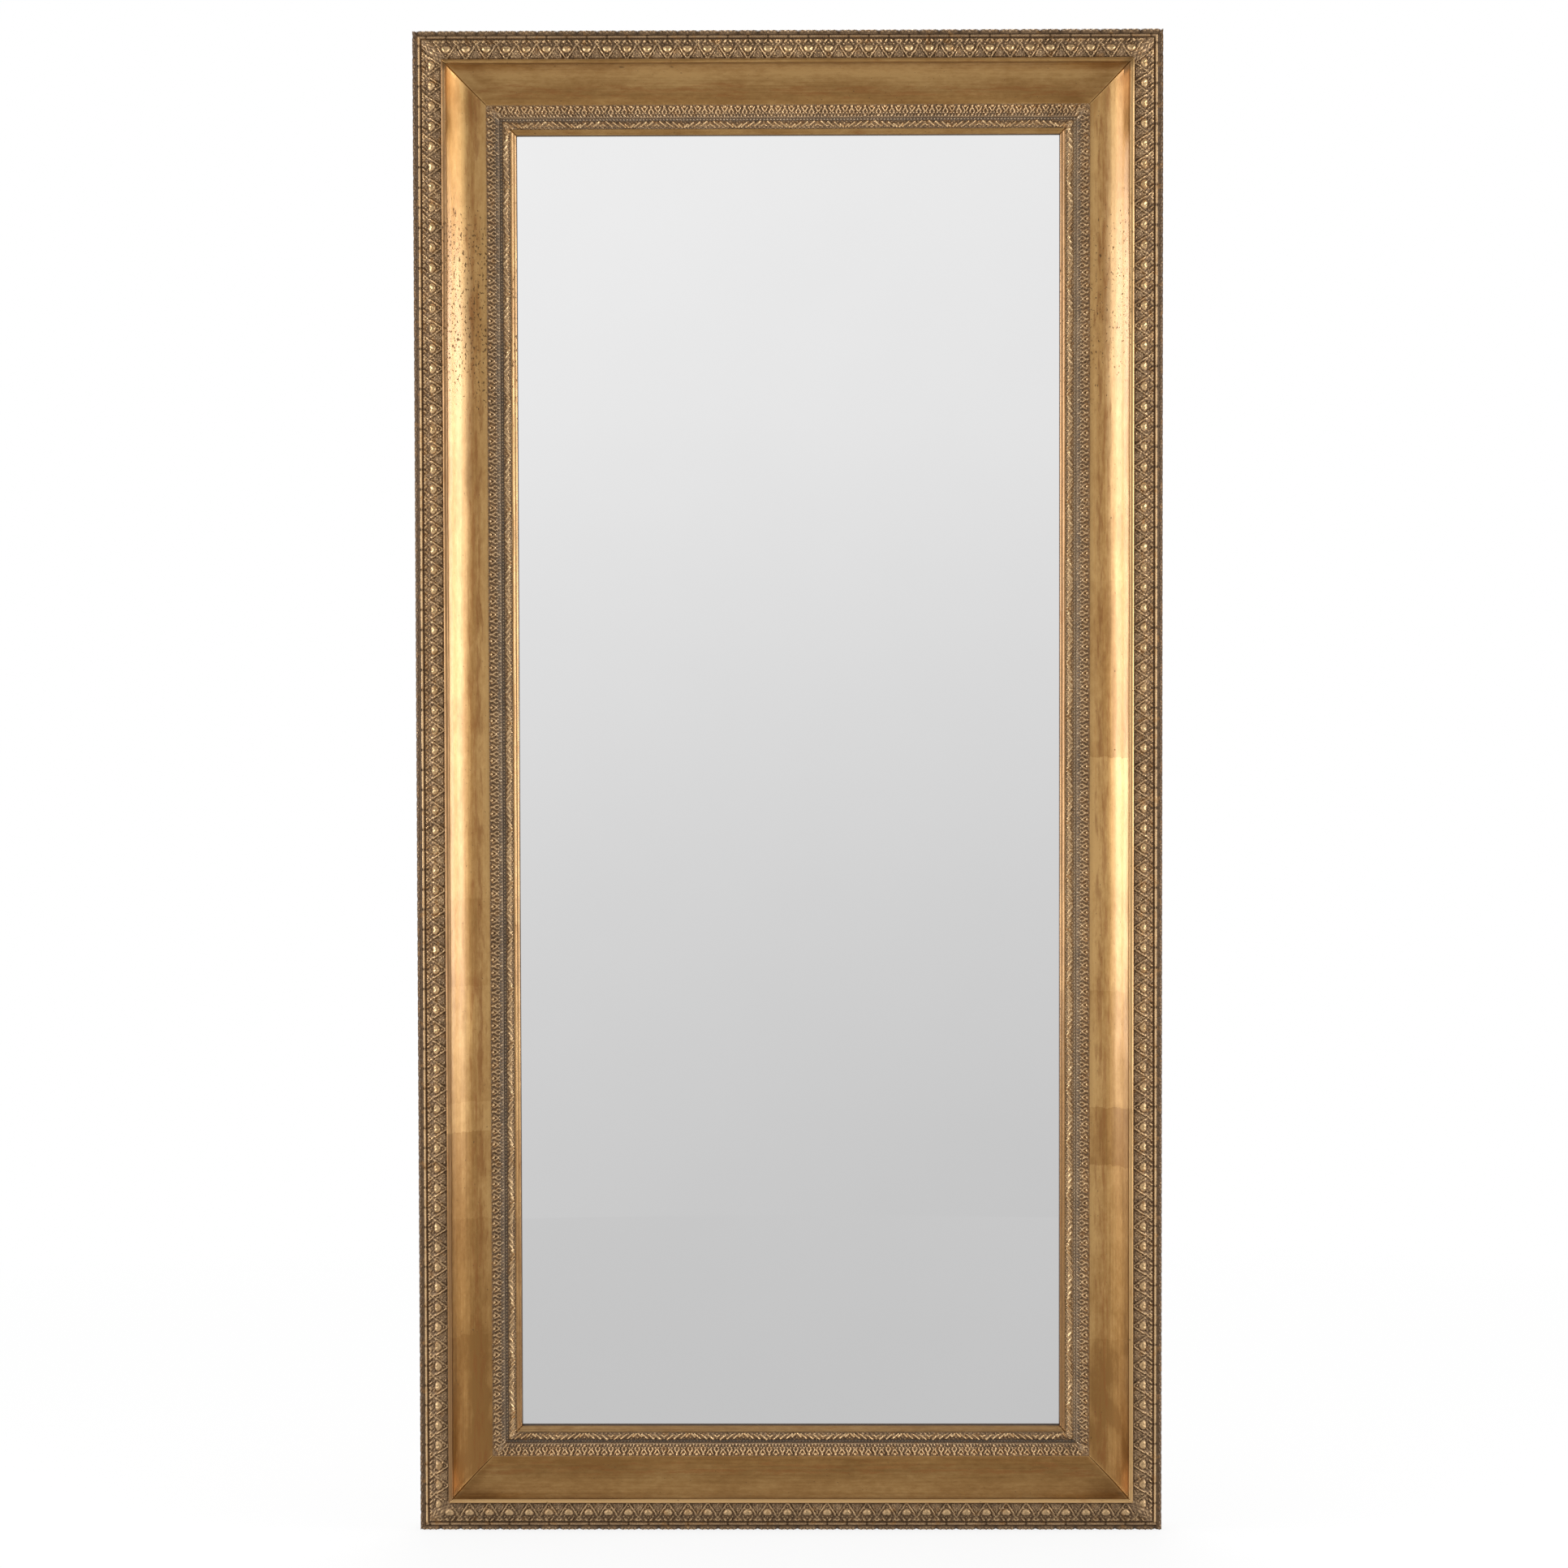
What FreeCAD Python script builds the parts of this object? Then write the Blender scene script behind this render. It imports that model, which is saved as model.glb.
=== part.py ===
import FreeCAD, Part

import os
import re

import Sketcher
from FreeCAD import Placement, Rotation, Vector

# Gilt floor mirror: a mitred moulding with cast ornament strips, a silvered pane in the rabbet
# and the fittings on the back. Millimetres, +Z up, the glass looks towards -Y.
SIZES = {
    "overall_width": 994,
    "overall_height": 2000,
    # bands across the moulding, from the outer edge to the glass
    "edge_band_width": 13,
    "bead_band_width": 26,
    "fillet_width": 6,
    "cove_width": 51.5,
    "bud_band_width": 17,
    "leaf_band_width": 14.5,
    "sight_width": 7.5,
    # wood, heights above the back plane
    "side_inset": 2,
    "edge_seat_height": 40,
    "bead_seat_height": 49,
    "fillet_height": 64,
    "fillet_bevel": 1,
    "cove_top_height": 62,
    "cove_foot_height": 29,
    "cove_hollow": 7.5,
    "bud_seat_height": 22,
    "leaf_seat_height": 19,
    "sight_height": 24,
    "sight_edge_height": 18,
    "sight_rise": 1.6,
    "rabbet_lap": 10,
    "cut_overrun": 20,
    # ornament strips, heights above the back plane and rises of the rounded tops
    "edge_lip_height": 46,
    "edge_crest_height": 52,
    "edge_roll_width": 7,
    "edge_roll_rise": 1.8,
    "bar_foot_height": 50.5,
    "bar_groove": 1.5,
    "bar_rise": 2,
    "bead_outer_height": 53,
    "bead_inner_height": 60,
    "bead_rise": 3,
    "bud_outer_height": 30,
    "bud_inner_height": 27,
    "bud_rise": 4.5,
    "leaf_channel_width": 3.5,
    "leaf_channel_height": 21.5,
    "leaf_outer_height": 24,
    "leaf_inner_height": 22.5,
    "leaf_rise": 2.8,
    # pane, board and what they stand on
    "glass_thickness": 5,
    "glass_arris": 0.8,
    "board_thickness": 6,
    "pane_clearance": 2,
    "setting_block_length": 80,
    "setting_block_spacing": 420,
    "packer_length": 40,
    "packer_rail_spacing": 420,
    "packer_stile_spacing": 1160,
    # splines in the mitres
    "spline_length": 90,
    "spline_width": 30,
    "spline_thickness": 4,
    "spline_inset": 58,
    "spline_depth": 20,
    "spline_clearance": 0.1,
    # flat steel angles over the mitres
    "brace_leg": 90,
    "brace_width": 18,
    "brace_thickness": 2,
    "brace_end_rise": 3,
    "brace_inset": 58,
    "brace_first_hole": 26,
    "brace_second_hole": 68,
    # turn buttons
    "button_reach": 25,
    "button_pivot_radius": 6.5,
    "button_tip_radius": 4.5,
    "button_thickness": 1.6,
    "button_gap": 0.3,
    "button_inset": 10,
    "button_rail_spacing": 420,
    "button_stile_spacing": 640,
    "button_edge_round": 0.4,
    "pivot_clearance": 0.08,
    # screws
    "small_shank_radius": 1.5,
    "small_head_radius": 3.2,
    "small_head_height": 1.9,
    "small_screw_length": 13,
    "large_shank_radius": 2,
    "large_head_radius": 4,
    "large_head_height": 2.3,
    "large_screw_length": 16,
    "screw_rim_height": 0.8,
    "screw_head_rise": 0.5,
    "screw_point": 4,
    "screw_slot_width": 0.9,
    "screw_slot_depth": 0.7,
    "pilot_clearance": 0.05,
    # strap hangers and their rings
    "hanger_height": 1480,
    "hanger_inset": 60,
    "strap_width": 14,
    "strap_length": 58,
    "strap_thickness": 2.4,
    "strap_sheet": 1.5,
    "strap_first_hole": 33,
    "strap_second_hole": 49,
    "ring_wire_radius": 1.75,
    "ring_half_width": 12.5,
    "ring_reach": 22,
    "ring_corner": 4,
    "ring_eye_clearance": 0.1,
    "ring_rest_gap": 0.35,
    # feet
    "bumper_radius": 11,
    "bumper_face_radius": 8.5,
    "bumper_height": 8,
    "bumper_inset": 26,
    "floor_pad_length": 90,
    "floor_pad_width": 38,
    "floor_pad_spacing": 760,
    "floor_pad_back_inset": 1,
}

doc = FreeCAD.newDocument("floor_mirror")
sheet = doc.addObject("Spreadsheet::Sheet", "sizes")
for row, (alias, size) in enumerate(SIZES.items(), start=1):
    sheet.set(f"A{row}", alias)
    sheet.set(f"B{row}", str(size))
    sheet.setAlias(f"B{row}", alias)
doc.recompute()

BANDS = (
    "edge_band_width", "bead_band_width", "fillet_width", "cove_width",
    "bud_band_width", "leaf_band_width", "sight_width",
)
BEAD_START, FILLET_START, COVE_START, BUD_START, LEAF_START, SIGHT_START, MOULDING = (
    "(" + " + ".join(BANDS[:count]) + ")" for count in range(1, len(BANDS) + 1)
)
RABBET_DEPTH = "(glass_thickness + board_thickness)"
RABBET_START = f"({MOULDING} - rabbet_lap)"
BACK_PLANE = "((fillet_height - bumper_height) / 2)"
PANE_INSET = f"({RABBET_START} + pane_clearance)"
BUTTON_INSET = f"({RABBET_START} - button_inset)"
LOOP_RADIUS = "(ring_wire_radius + ring_eye_clearance + strap_sheet)"
SAME_PLACE = 1e-6


def cells(text):
    """Point every size named in an expression at its cell."""
    return re.sub(r"[a-z_]+", lambda word: f"sizes.{word[0]}" if word[0] in SIZES else word[0], text)


def number(text):
    return float(sheet.evalExpression(cells(text)))


def bind(thing, prop, text):
    thing.setExpression(prop, cells(text))


# The four lengths share one local frame: X along the length, Y from the back plane to the front,
# Z from the outer edge towards the glass.
SIDES = {
    "bottom": {
        "length": "overall_width",
        "turn": Rotation(Vector(-1, 0, 0), Vector(0, -1, 0), Vector(0, 0, 1), "XYZ"),
        "x": "-({along})", "z": "{inward}",
    },
    "left": {
        "length": "overall_height",
        "turn": Rotation(Vector(0, 0, 1), Vector(0, -1, 0), Vector(1, 0, 0), "XYZ"),
        "x": "{inward} - overall_width / 2", "z": "overall_height / 2 + {along}",
    },
    "top": {
        "length": "overall_width",
        "turn": Rotation(Vector(1, 0, 0), Vector(0, -1, 0), Vector(0, 0, -1), "XYZ"),
        "x": "{along}", "z": "overall_height - ({inward})",
    },
    "right": {
        "length": "overall_height",
        "turn": Rotation(Vector(0, 0, -1), Vector(0, -1, 0), Vector(-1, 0, 0), "XYZ"),
        "x": "overall_width / 2 - ({inward})", "z": "overall_height / 2 - ({along})",
    },
}
LENGTH_NAMES = {
    "bottom": "bottom_rail", "left": "left_stile", "top": "top_rail", "right": "right_stile",
}
CORNER_NAMES = {
    "bottom": "bottom_left", "left": "top_left", "top": "top_right", "right": "bottom_right",
}


def seat(thing, turn, x, y, z):
    thing.Placement = Placement(Vector(number(x), number(y), number(z)), turn)
    bind(thing, "Placement.Base.x", x)
    bind(thing, "Placement.Base.y", y)
    bind(thing, "Placement.Base.z", z)


def seat_on(thing, side, along="0", inward="0", behind="0", twist=Rotation()):
    """Seat a piece on one length of the frame, at a place on its back plane."""
    frame = SIDES[side]
    x = frame["x"].format(along=along, inward=inward)
    z = frame["z"].format(along=along, inward=inward)
    seat(thing, frame["turn"] * twist, x, f"{BACK_PLANE} + {behind}", z)


def new_body(label):
    body = doc.addObject("PartDesign::Body", label)
    body.Label = label
    return body


def sketch_on(body, role, name, lift=None):
    sketch = body.newObject("Sketcher::SketchObject", name)
    plane = next(item for item in body.Origin.OriginFeatures if item.Role == role)
    sketch.AttachmentSupport = (plane, [""])
    sketch.MapMode = "FlatFace"
    if lift:
        bind(sketch, "AttachmentOffset.Base.z", lift)
    return sketch


def pin(sketch, geometry, end, x, y):
    for kind, text in (("DistanceX", x), ("DistanceY", y)):
        index = sketch.addConstraint(Sketcher.Constraint(kind, -1, 1, geometry, end, number(text)))
        bind(sketch, f"Constraints[{index}]", text)


def outline(sketch, corners):
    """Draw a closed outline. A corner is (x, y), or (x, y, rise) where an arc leaves it;
    the rise is measured at mid chord, positive to the right of the way drawn."""
    spots = [Vector(number(corner[0]), number(corner[1]), 0) for corner in corners]
    pieces = []
    for here, corner in enumerate(corners):
        after = (here + 1) % len(corners)
        start, end = spots[here], spots[after]
        if len(corner) == 2:
            pieces.append((sketch.addGeometry(Part.LineSegment(start, end)), 1, 2))
            continue
        chord = end - start
        right = Vector(chord.y, -chord.x, 0).normalize()
        crown = (start + end) / 2 + right * number(corner[2])
        arc = sketch.addGeometry(Part.Arc(start, crown, end))
        forward = sketch.getPoint(arc, 1).isEqual(start, SAME_PLACE)
        pieces.append((arc, 1, 2) if forward else (arc, 2, 1))
        run = f"({corners[after][0]}) - ({corner[0]})"
        climb = f"({corners[after][1]}) - ({corner[1]})"
        rise = f"abs({corner[2]})"
        radius = f"(({run})^2 + ({climb})^2) / (8 * {rise}) + {rise} / 2"
        index = sketch.addConstraint(Sketcher.Constraint("Radius", arc, number(radius)))
        bind(sketch, f"Constraints[{index}]", radius)
    for here, corner in enumerate(corners):
        geometry, start, _ = pieces[here]
        before, _, end = pieces[here - 1]
        sketch.addConstraint(Sketcher.Constraint("Coincident", before, end, geometry, start))
        pin(sketch, geometry, start, corner[0], corner[1])


def circle(sketch, x, y, radius):
    spot = Vector(number(x), number(y), 0)
    geometry = sketch.addGeometry(Part.Circle(spot, Vector(0, 0, 1), number(radius)))
    pin(sketch, geometry, 3, x, y)
    index = sketch.addConstraint(Sketcher.Constraint("Radius", geometry, number(radius)))
    bind(sketch, f"Constraints[{index}]", radius)


def pad(body, sketch, length, symmetric=False):
    feature = body.newObject("PartDesign::Pad", "pad")
    feature.Profile = sketch
    bind(feature, "Length", length)
    if symmetric:
        feature.SideType = "Symmetric"
    sketch.Visibility = False
    body.Tip = feature
    return feature


def pocket(body, sketch, length=None):
    """Cut to a depth, or right through both ways when no depth is given."""
    feature = body.newObject("PartDesign::Pocket", "pocket")
    feature.Profile = sketch
    if length:
        bind(feature, "Length", length)
    else:
        feature.Type = "ThroughAll"
        feature.SideType = "Symmetric"
    sketch.Visibility = False
    body.Tip = feature
    return feature


def furthest_face(feature, direction):
    """Name of the flat face that lies furthest along a direction."""
    flat = [face for face in feature.Shape.Faces if isinstance(face.Surface, Part.Plane)]
    furthest = max(flat, key=lambda face: face.CenterOfMass.dot(direction))
    names = [f"Face{place}" for place, face in enumerate(feature.Shape.Faces, start=1)
             if face.isSame(furthest)]
    return names


def revolved(label, corners):
    """Turn an outline in the XY plane about the Y axis."""
    body = new_body(label)
    sketch = sketch_on(body, "XY_Plane", "half_section")
    outline(sketch, corners)
    turning = body.newObject("PartDesign::Revolution", "turning")
    turning.Profile = sketch
    turning.ReferenceAxis = (sketch, ["V_Axis"])
    turning.Angle = 360
    sketch.Visibility = False
    body.Tip = turning
    return body


def box(name, length, depth, height):
    solid = doc.addObject("Part::Box", name)
    bind(solid, "Length", length)
    bind(solid, "Width", depth)
    bind(solid, "Height", height)
    return solid


def group(label, members):
    """Gather separate solids into one node."""
    gathered = doc.addObject("Part::Compound", label)
    gathered.Label = label
    gathered.Links = members
    nodes.append(gathered)


def copy_of(master, name):
    link = doc.addObject("App::Link", name)
    link.LinkedObject = master
    link.LinkTransform = False
    return link


def quarter(radius):
    """Rise of a quarter arc of this radius."""
    return f"({radius}) * (1 - 1 / sqrt(2))"


nodes = []

# Outlines across the moulding as (height above the back plane, distance from the outer edge)
WOOD_PROFILE = (
    ("0", "side_inset"),
    ("edge_seat_height", "side_inset"),
    ("edge_seat_height", BEAD_START),
    ("bead_seat_height", BEAD_START),
    ("bead_seat_height", FILLET_START),
    ("fillet_height", FILLET_START),
    ("fillet_height", f"{COVE_START} - fillet_bevel"),
    ("cove_top_height", COVE_START, "-cove_hollow"),
    ("cove_foot_height", BUD_START),
    ("bud_seat_height", BUD_START),
    ("bud_seat_height", LEAF_START),
    ("leaf_seat_height", LEAF_START),
    ("leaf_seat_height", SIGHT_START),
    ("sight_height", SIGHT_START, "sight_rise"),
    ("sight_edge_height", MOULDING),
    (RABBET_DEPTH, MOULDING),
    (RABBET_DEPTH, RABBET_START),
    ("0", RABBET_START),
)
STRIP_PROFILES = {
    "edge_strip": (
        ("edge_seat_height", "0"),
        ("edge_lip_height", "0", "edge_roll_rise"),
        ("edge_crest_height", "edge_roll_width"),
        ("bar_foot_height", "edge_roll_width", "bar_rise"),
        ("bar_foot_height", f"{BEAD_START} - bar_groove"),
        ("bar_foot_height", BEAD_START),
        ("edge_seat_height", BEAD_START),
    ),
    "bead_strip": (
        ("bead_seat_height", BEAD_START),
        ("bead_outer_height", BEAD_START, "bead_rise"),
        ("bead_inner_height", FILLET_START),
        ("bead_seat_height", FILLET_START),
    ),
    "bud_strip": (
        ("bud_seat_height", BUD_START),
        ("bud_outer_height", BUD_START, "bud_rise"),
        ("bud_inner_height", LEAF_START),
        ("bud_seat_height", LEAF_START),
    ),
    "leaf_strip": (
        ("leaf_seat_height", LEAF_START),
        ("leaf_channel_height", LEAF_START),
        ("leaf_channel_height", f"{LEAF_START} + leaf_channel_width"),
        ("leaf_outer_height", f"{LEAF_START} + leaf_channel_width", "leaf_rise"),
        ("leaf_inner_height", SIGHT_START),
        ("leaf_seat_height", SIGHT_START),
    ),
}


def mitred_length(label, side, profile):
    """Run a profile along one side of the frame and cut both ends at 45 degrees."""
    length = SIDES[side]["length"]
    body = new_body(label)
    section = sketch_on(body, "YZ_Plane", "section")
    outline(section, profile)
    pad(body, section, length, symmetric=True)
    mitres = sketch_on(body, "XZ_Plane", "mitres")
    outer = f"({length} / 2 + cut_overrun)"
    inner = f"({length} / 2 - {MOULDING} - cut_overrun)"
    for sign in ("", "-"):
        outline(mitres, (
            (f"{sign}{outer}", "-cut_overrun"),
            (f"{sign}{outer}", f"{MOULDING} + cut_overrun"),
            (f"{sign}{inner}", f"{MOULDING} + cut_overrun"),
        ))
    pocket(body, mitres)
    seat_on(body, side)
    nodes.append(body)
    return body


def spline_slots(body, length):
    """Cut the slot of each mitre spline, a tilted oblong that crosses the joint."""
    slots = sketch_on(body, "XZ_Plane", "spline_slots", lift="spline_clearance - spline_depth")
    lengthwise = "(spline_length / 2 + spline_clearance) / sqrt(2)"
    crosswise = "(spline_width / 2 + spline_clearance) / sqrt(2)"
    centre = f"({length} / 2 - spline_inset)"
    reaches = (("-", "+"), ("+", "+"), ("+", "-"), ("-", "-"))
    for sign in ("", "-"):
        outline(slots, tuple(
            (f"{sign}({centre} {one} {lengthwise} {two} {crosswise})",
             f"spline_inset {'-' if one == '+' else '+'} {lengthwise} {two} {crosswise}")
            for one, two in reaches
        ))
    pocket(body, slots, "spline_thickness + 2 * spline_clearance")


def pilot_holes(body, name, spots, radius, depth):
    sketch = sketch_on(body, "XZ_Plane", name)
    for along, inward in spots:
        circle(sketch, along, inward, f"{radius} + pilot_clearance")
    pocket(body, sketch, depth)


BUTTON_PLACES = {
    "bottom": ("-button_rail_spacing / 2", "button_rail_spacing / 2"),
    "top": ("-button_rail_spacing / 2", "button_rail_spacing / 2"),
    "left": ("-button_stile_spacing", "0", "button_stile_spacing"),
    "right": ("-button_stile_spacing", "0", "button_stile_spacing"),
}
BRACE_HOLES = ("brace_first_hole", "brace_second_hole")
STRAP_HOLES = ("strap_first_hole", "strap_second_hole")
HANGER_SIGNS = {"left": "", "right": "-"}


def brace_screw_places(side):
    ends = [f"({SIDES[side]['length']} / 2 - brace_inset - {hole})" for hole in BRACE_HOLES]
    return [(f"{sign}{end}", "brace_inset") for end in ends for sign in ("", "-")]


def hanger_screw_places(side):
    if side not in HANGER_SIGNS:
        return []
    sign = HANGER_SIGNS[side]
    drops = [f"(hanger_height - overall_height / 2 - {hole})" for hole in STRAP_HOLES]
    return [(f"{sign}{drop}", "hanger_inset") for drop in drops]


# The four lengths of moulding and the ornament strips let into them
for side, name in LENGTH_NAMES.items():
    wood = mitred_length(name, side, WOOD_PROFILE)
    spline_slots(wood, SIDES[side]["length"])
    pilot_holes(wood, "button_pilots", [(along, BUTTON_INSET) for along in BUTTON_PLACES[side]],
                "small_shank_radius", "small_screw_length")
    pilot_holes(wood, "fitting_pilots", brace_screw_places(side) + hanger_screw_places(side),
                "large_shank_radius", "large_screw_length")
    for strip, profile in STRIP_PROFILES.items():
        mitred_length(f"{strip}_{side}", side, profile)


# Pane and backing board
def sheet_in_rabbet(label, front, thickness):
    body = new_body(label)
    sketch = sketch_on(body, "XZ_Plane", "outline", lift=f"-{front}")
    half = f"(overall_width / 2 - {PANE_INSET})"
    top = f"overall_height - {PANE_INSET}"
    outline(sketch, (
        (f"-{half}", PANE_INSET), (half, PANE_INSET), (half, top), (f"-{half}", top),
    ))
    slab = pad(body, sketch, thickness)
    seat_on(body, "bottom")
    nodes.append(body)
    return body, slab


glass, pane = sheet_in_rabbet("mirror_glass", RABBET_DEPTH, "glass_thickness")
doc.recompute()
arris = glass.newObject("PartDesign::Chamfer", "arris")
arris.Base = (pane, furthest_face(pane, Vector(0, 1, 0)))
bind(arris, "Size", "glass_arris")
glass.Tip = arris
sheet_in_rabbet("backing_board", "board_thickness", "board_thickness")


# Blocks that keep the pane clear of the rabbet
def pane_block(name, side, length, centre):
    block = box(name, length, RABBET_DEPTH, "pane_clearance")
    seat_on(block, side, f"{centre} - {length} / 2", RABBET_START)
    return block


group("glass_setting_blocks", [
    pane_block(f"setting_block_{place}", "bottom", "setting_block_length",
               f"{sign}setting_block_spacing / 2")
    for place, sign in (("first", "-"), ("second", ""))
])
PACKER_SPACINGS = {
    "top": "packer_rail_spacing", "left": "packer_stile_spacing", "right": "packer_stile_spacing",
}
group("glass_edge_packers", [
    pane_block(f"packer_{side}_{place}", side, "packer_length", f"{sign}{spacing} / 2")
    for side, spacing in PACKER_SPACINGS.items()
    for place, sign in (("first", "-"), ("second", ""))
])

# Splines in the mitres, turned so that their length follows the joint
along_mitre = Vector(-1, 0, 1).normalize()
across_mitre = Vector(-1, 0, -1).normalize()
spline_turn = Rotation(along_mitre, Vector(0, 1, 0), across_mitre, "XYZ")
splines = []
for side, corner in CORNER_NAMES.items():
    spline = box(f"spline_{corner}", "spline_length", "spline_thickness", "spline_width")
    seat_on(
        spline, side,
        f"({SIDES[side]['length']} / 2 - spline_inset + (spline_length + spline_width) / (2 * sqrt(2)))",
        "(spline_inset - (spline_length - spline_width) / (2 * sqrt(2)))",
        "(-spline_depth)", spline_turn,
    )
    splines.append(spline)
group("mitre_splines", splines)

# Steel angles over the mitres
for side, corner in CORNER_NAMES.items():
    brace = new_body(f"corner_brace_{corner}")
    plate = sketch_on(brace, "XZ_Plane", "plate")
    half = "brace_width / 2"
    outline(plate, (
        (half, f"-{half}"), (half, "brace_leg", "brace_end_rise"), (f"-{half}", "brace_leg"),
        (f"-{half}", half), ("-brace_leg", half, "brace_end_rise"), ("-brace_leg", f"-{half}"),
    ))
    pad(brace, plate, "brace_thickness")
    holes = sketch_on(brace, "XZ_Plane", "holes")
    for hole in BRACE_HOLES:
        circle(holes, "0", hole, "large_shank_radius + pilot_clearance")
        circle(holes, f"-{hole}", "0", "large_shank_radius + pilot_clearance")
    pocket(brace, holes)
    seat_on(brace, side, f"({SIDES[side]['length']} / 2 - brace_inset)", "brace_inset")
    nodes.append(brace)

# Turn buttons, each on the shank of its own screw
for side, places in BUTTON_PLACES.items():
    for count, along in enumerate(places, start=1):
        button = new_body(f"turn_button_{side}_{count}")
        blank = sketch_on(button, "XZ_Plane", "blank", lift="button_gap")
        shoulder = "button_reach - button_tip_radius"
        outline(blank, (
            ("button_pivot_radius", "0"),
            ("button_tip_radius", shoulder, quarter("button_tip_radius")),
            ("0", "button_reach", quarter("button_tip_radius")),
            ("-button_tip_radius", shoulder),
            ("-button_pivot_radius", "0", quarter("button_pivot_radius")),
            ("0", "-button_pivot_radius", quarter("button_pivot_radius")),
        ))
        blade = pad(button, blank, "button_thickness")
        doc.recompute()
        rounding = button.newObject("PartDesign::Fillet", "rounding")
        rounding.Base = (blade, furthest_face(blade, Vector(0, -1, 0)))
        bind(rounding, "Radius", "button_edge_round")
        button.Tip = rounding
        pivot = sketch_on(button, "XZ_Plane", "pivot")
        circle(pivot, "0", "0", "small_shank_radius + pivot_clearance")
        pocket(button, pivot)
        seat_on(button, side, along, BUTTON_INSET)
        nodes.append(button)


# Screws
def screw(size):
    head_radius, head_height = f"{size}_head_radius", f"{size}_head_height"
    shank, length = f"{size}_shank_radius", f"{size}_screw_length"
    body = revolved(f"{size}_screw", (
        ("0", f"-{head_height}", "screw_head_rise"),
        (head_radius, "-screw_rim_height"),
        (head_radius, "0"),
        (shank, "0"),
        (shank, f"{length} - screw_point"),
        ("0", length),
    ))
    slot = sketch_on(body, "XZ_Plane", "slot", lift=head_height)
    half = "screw_slot_width / 2"
    reach = f"({head_radius} + screw_slot_width)"
    outline(slot, ((f"-{reach}", f"-{half}"), (reach, f"-{half}"), (reach, half), (f"-{reach}", half)))
    pocket(body, slot, "screw_slot_depth")
    return body


small_screw = screw("small")
large_screw = screw("large")


def screws(label, master, places, behind):
    copies = []
    for count, (side, along, inward) in enumerate(places, start=1):
        copy = copy_of(master, f"{label}_{count}")
        seat_on(copy, side, along, inward, behind)
        copies.append(copy)
    group(label, copies)


screws("button_screws", small_screw,
       [(side, along, BUTTON_INSET) for side, places in BUTTON_PLACES.items() for along in places],
       "2 * button_gap + button_thickness")
screws("brace_screws", large_screw,
       [(side, *place) for side in SIDES for place in brace_screw_places(side)],
       "brace_thickness")
screws("hanger_screws", large_screw,
       [(side, *place) for side in HANGER_SIGNS for place in hanger_screw_places(side)],
       "strap_thickness")

# Strap hangers with a rolled eye, and the ring in each eye
for side, sign in (("left", "-"), ("right", "")):
    hanger_x = f"{sign}(overall_width / 2 - hanger_inset)"
    strap = new_body(f"hanger_strap_{side}")
    plate = sketch_on(strap, "YZ_Plane", "plate")
    outline(plate, (
        ("0", "-strap_length"), ("strap_thickness", "-strap_length"), ("strap_thickness", "0"), ("0", "0"),
    ))
    pad(strap, plate, "strap_width", symmetric=True)
    roll = sketch_on(strap, "YZ_Plane", "roll")
    circle(roll, LOOP_RADIUS, "0", LOOP_RADIUS)
    pad(strap, roll, "strap_width", symmetric=True)
    eye = sketch_on(strap, "YZ_Plane", "eye")
    circle(eye, LOOP_RADIUS, "0", "ring_wire_radius + ring_eye_clearance")
    pocket(strap, eye)
    holes = sketch_on(strap, "XZ_Plane", "holes")
    for hole in STRAP_HOLES:
        circle(holes, "0", f"-{hole}", "large_shank_radius + pilot_clearance")
    pocket(strap, holes)
    seat(strap, Rotation(), hanger_x, BACK_PLANE, "hanger_height")
    nodes.append(strap)

    ring = new_body(f"hanger_ring_{side}")
    path = sketch_on(ring, "XZ_Plane", "path")
    bar = "(ring_half_width - ring_corner)"
    leg = "-(ring_reach - ring_half_width)"
    outline(path, (
        ("0", "0"),
        (f"-{bar}", "0", quarter("ring_corner")),
        ("-ring_half_width", "-ring_corner"),
        ("-ring_half_width", leg, quarter("ring_half_width")),
        ("0", "-ring_reach", quarter("ring_half_width")),
        ("ring_half_width", leg),
        ("ring_half_width", "-ring_corner", quarter("ring_corner")),
        (bar, "0"),
    ))
    wire = sketch_on(ring, "YZ_Plane", "wire")
    circle(wire, "0", "0", "ring_wire_radius")
    sweep = ring.newObject("PartDesign::AdditivePipe", "sweep")
    sweep.Profile = wire
    sweep.Spine = (path, [""])
    ring.Tip = sweep
    rest = f"asin((strap_thickness + ring_wire_radius + ring_rest_gap - {LOOP_RADIUS}) / ring_reach)"
    seat(ring, Rotation(Vector(1, 0, 0), number(rest)), hanger_x, f"{BACK_PLANE} + {LOOP_RADIUS}",
         "hanger_height")
    bind(ring, "Placement.Rotation.Angle", rest)
    nodes.append(ring)

# Bumpers at the corners of the back and pads under the bottom rail
bumper = revolved("bumper", (
    ("0", "-bumper_height"), ("bumper_face_radius", "-bumper_height"), ("bumper_radius", "0"), ("0", "0"),
))
bumpers = []
for side, corner in CORNER_NAMES.items():
    copy = copy_of(bumper, f"bumper_{corner}")
    seat_on(copy, side, f"({SIDES[side]['length']} / 2 - bumper_inset)", "bumper_inset")
    bumpers.append(copy)
group("wall_bumpers", bumpers)

pads = []
for place, sign in (("left", ""), ("right", "-")):
    foot = box(f"floor_pad_{place}", "floor_pad_length", "floor_pad_width", "side_inset")
    seat_on(foot, "bottom", f"{sign}floor_pad_spacing / 2 - floor_pad_length / 2",
            behind="(-floor_pad_back_inset)")
    pads.append(foot)
group("floor_pads", pads)

doc.recompute()

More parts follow.
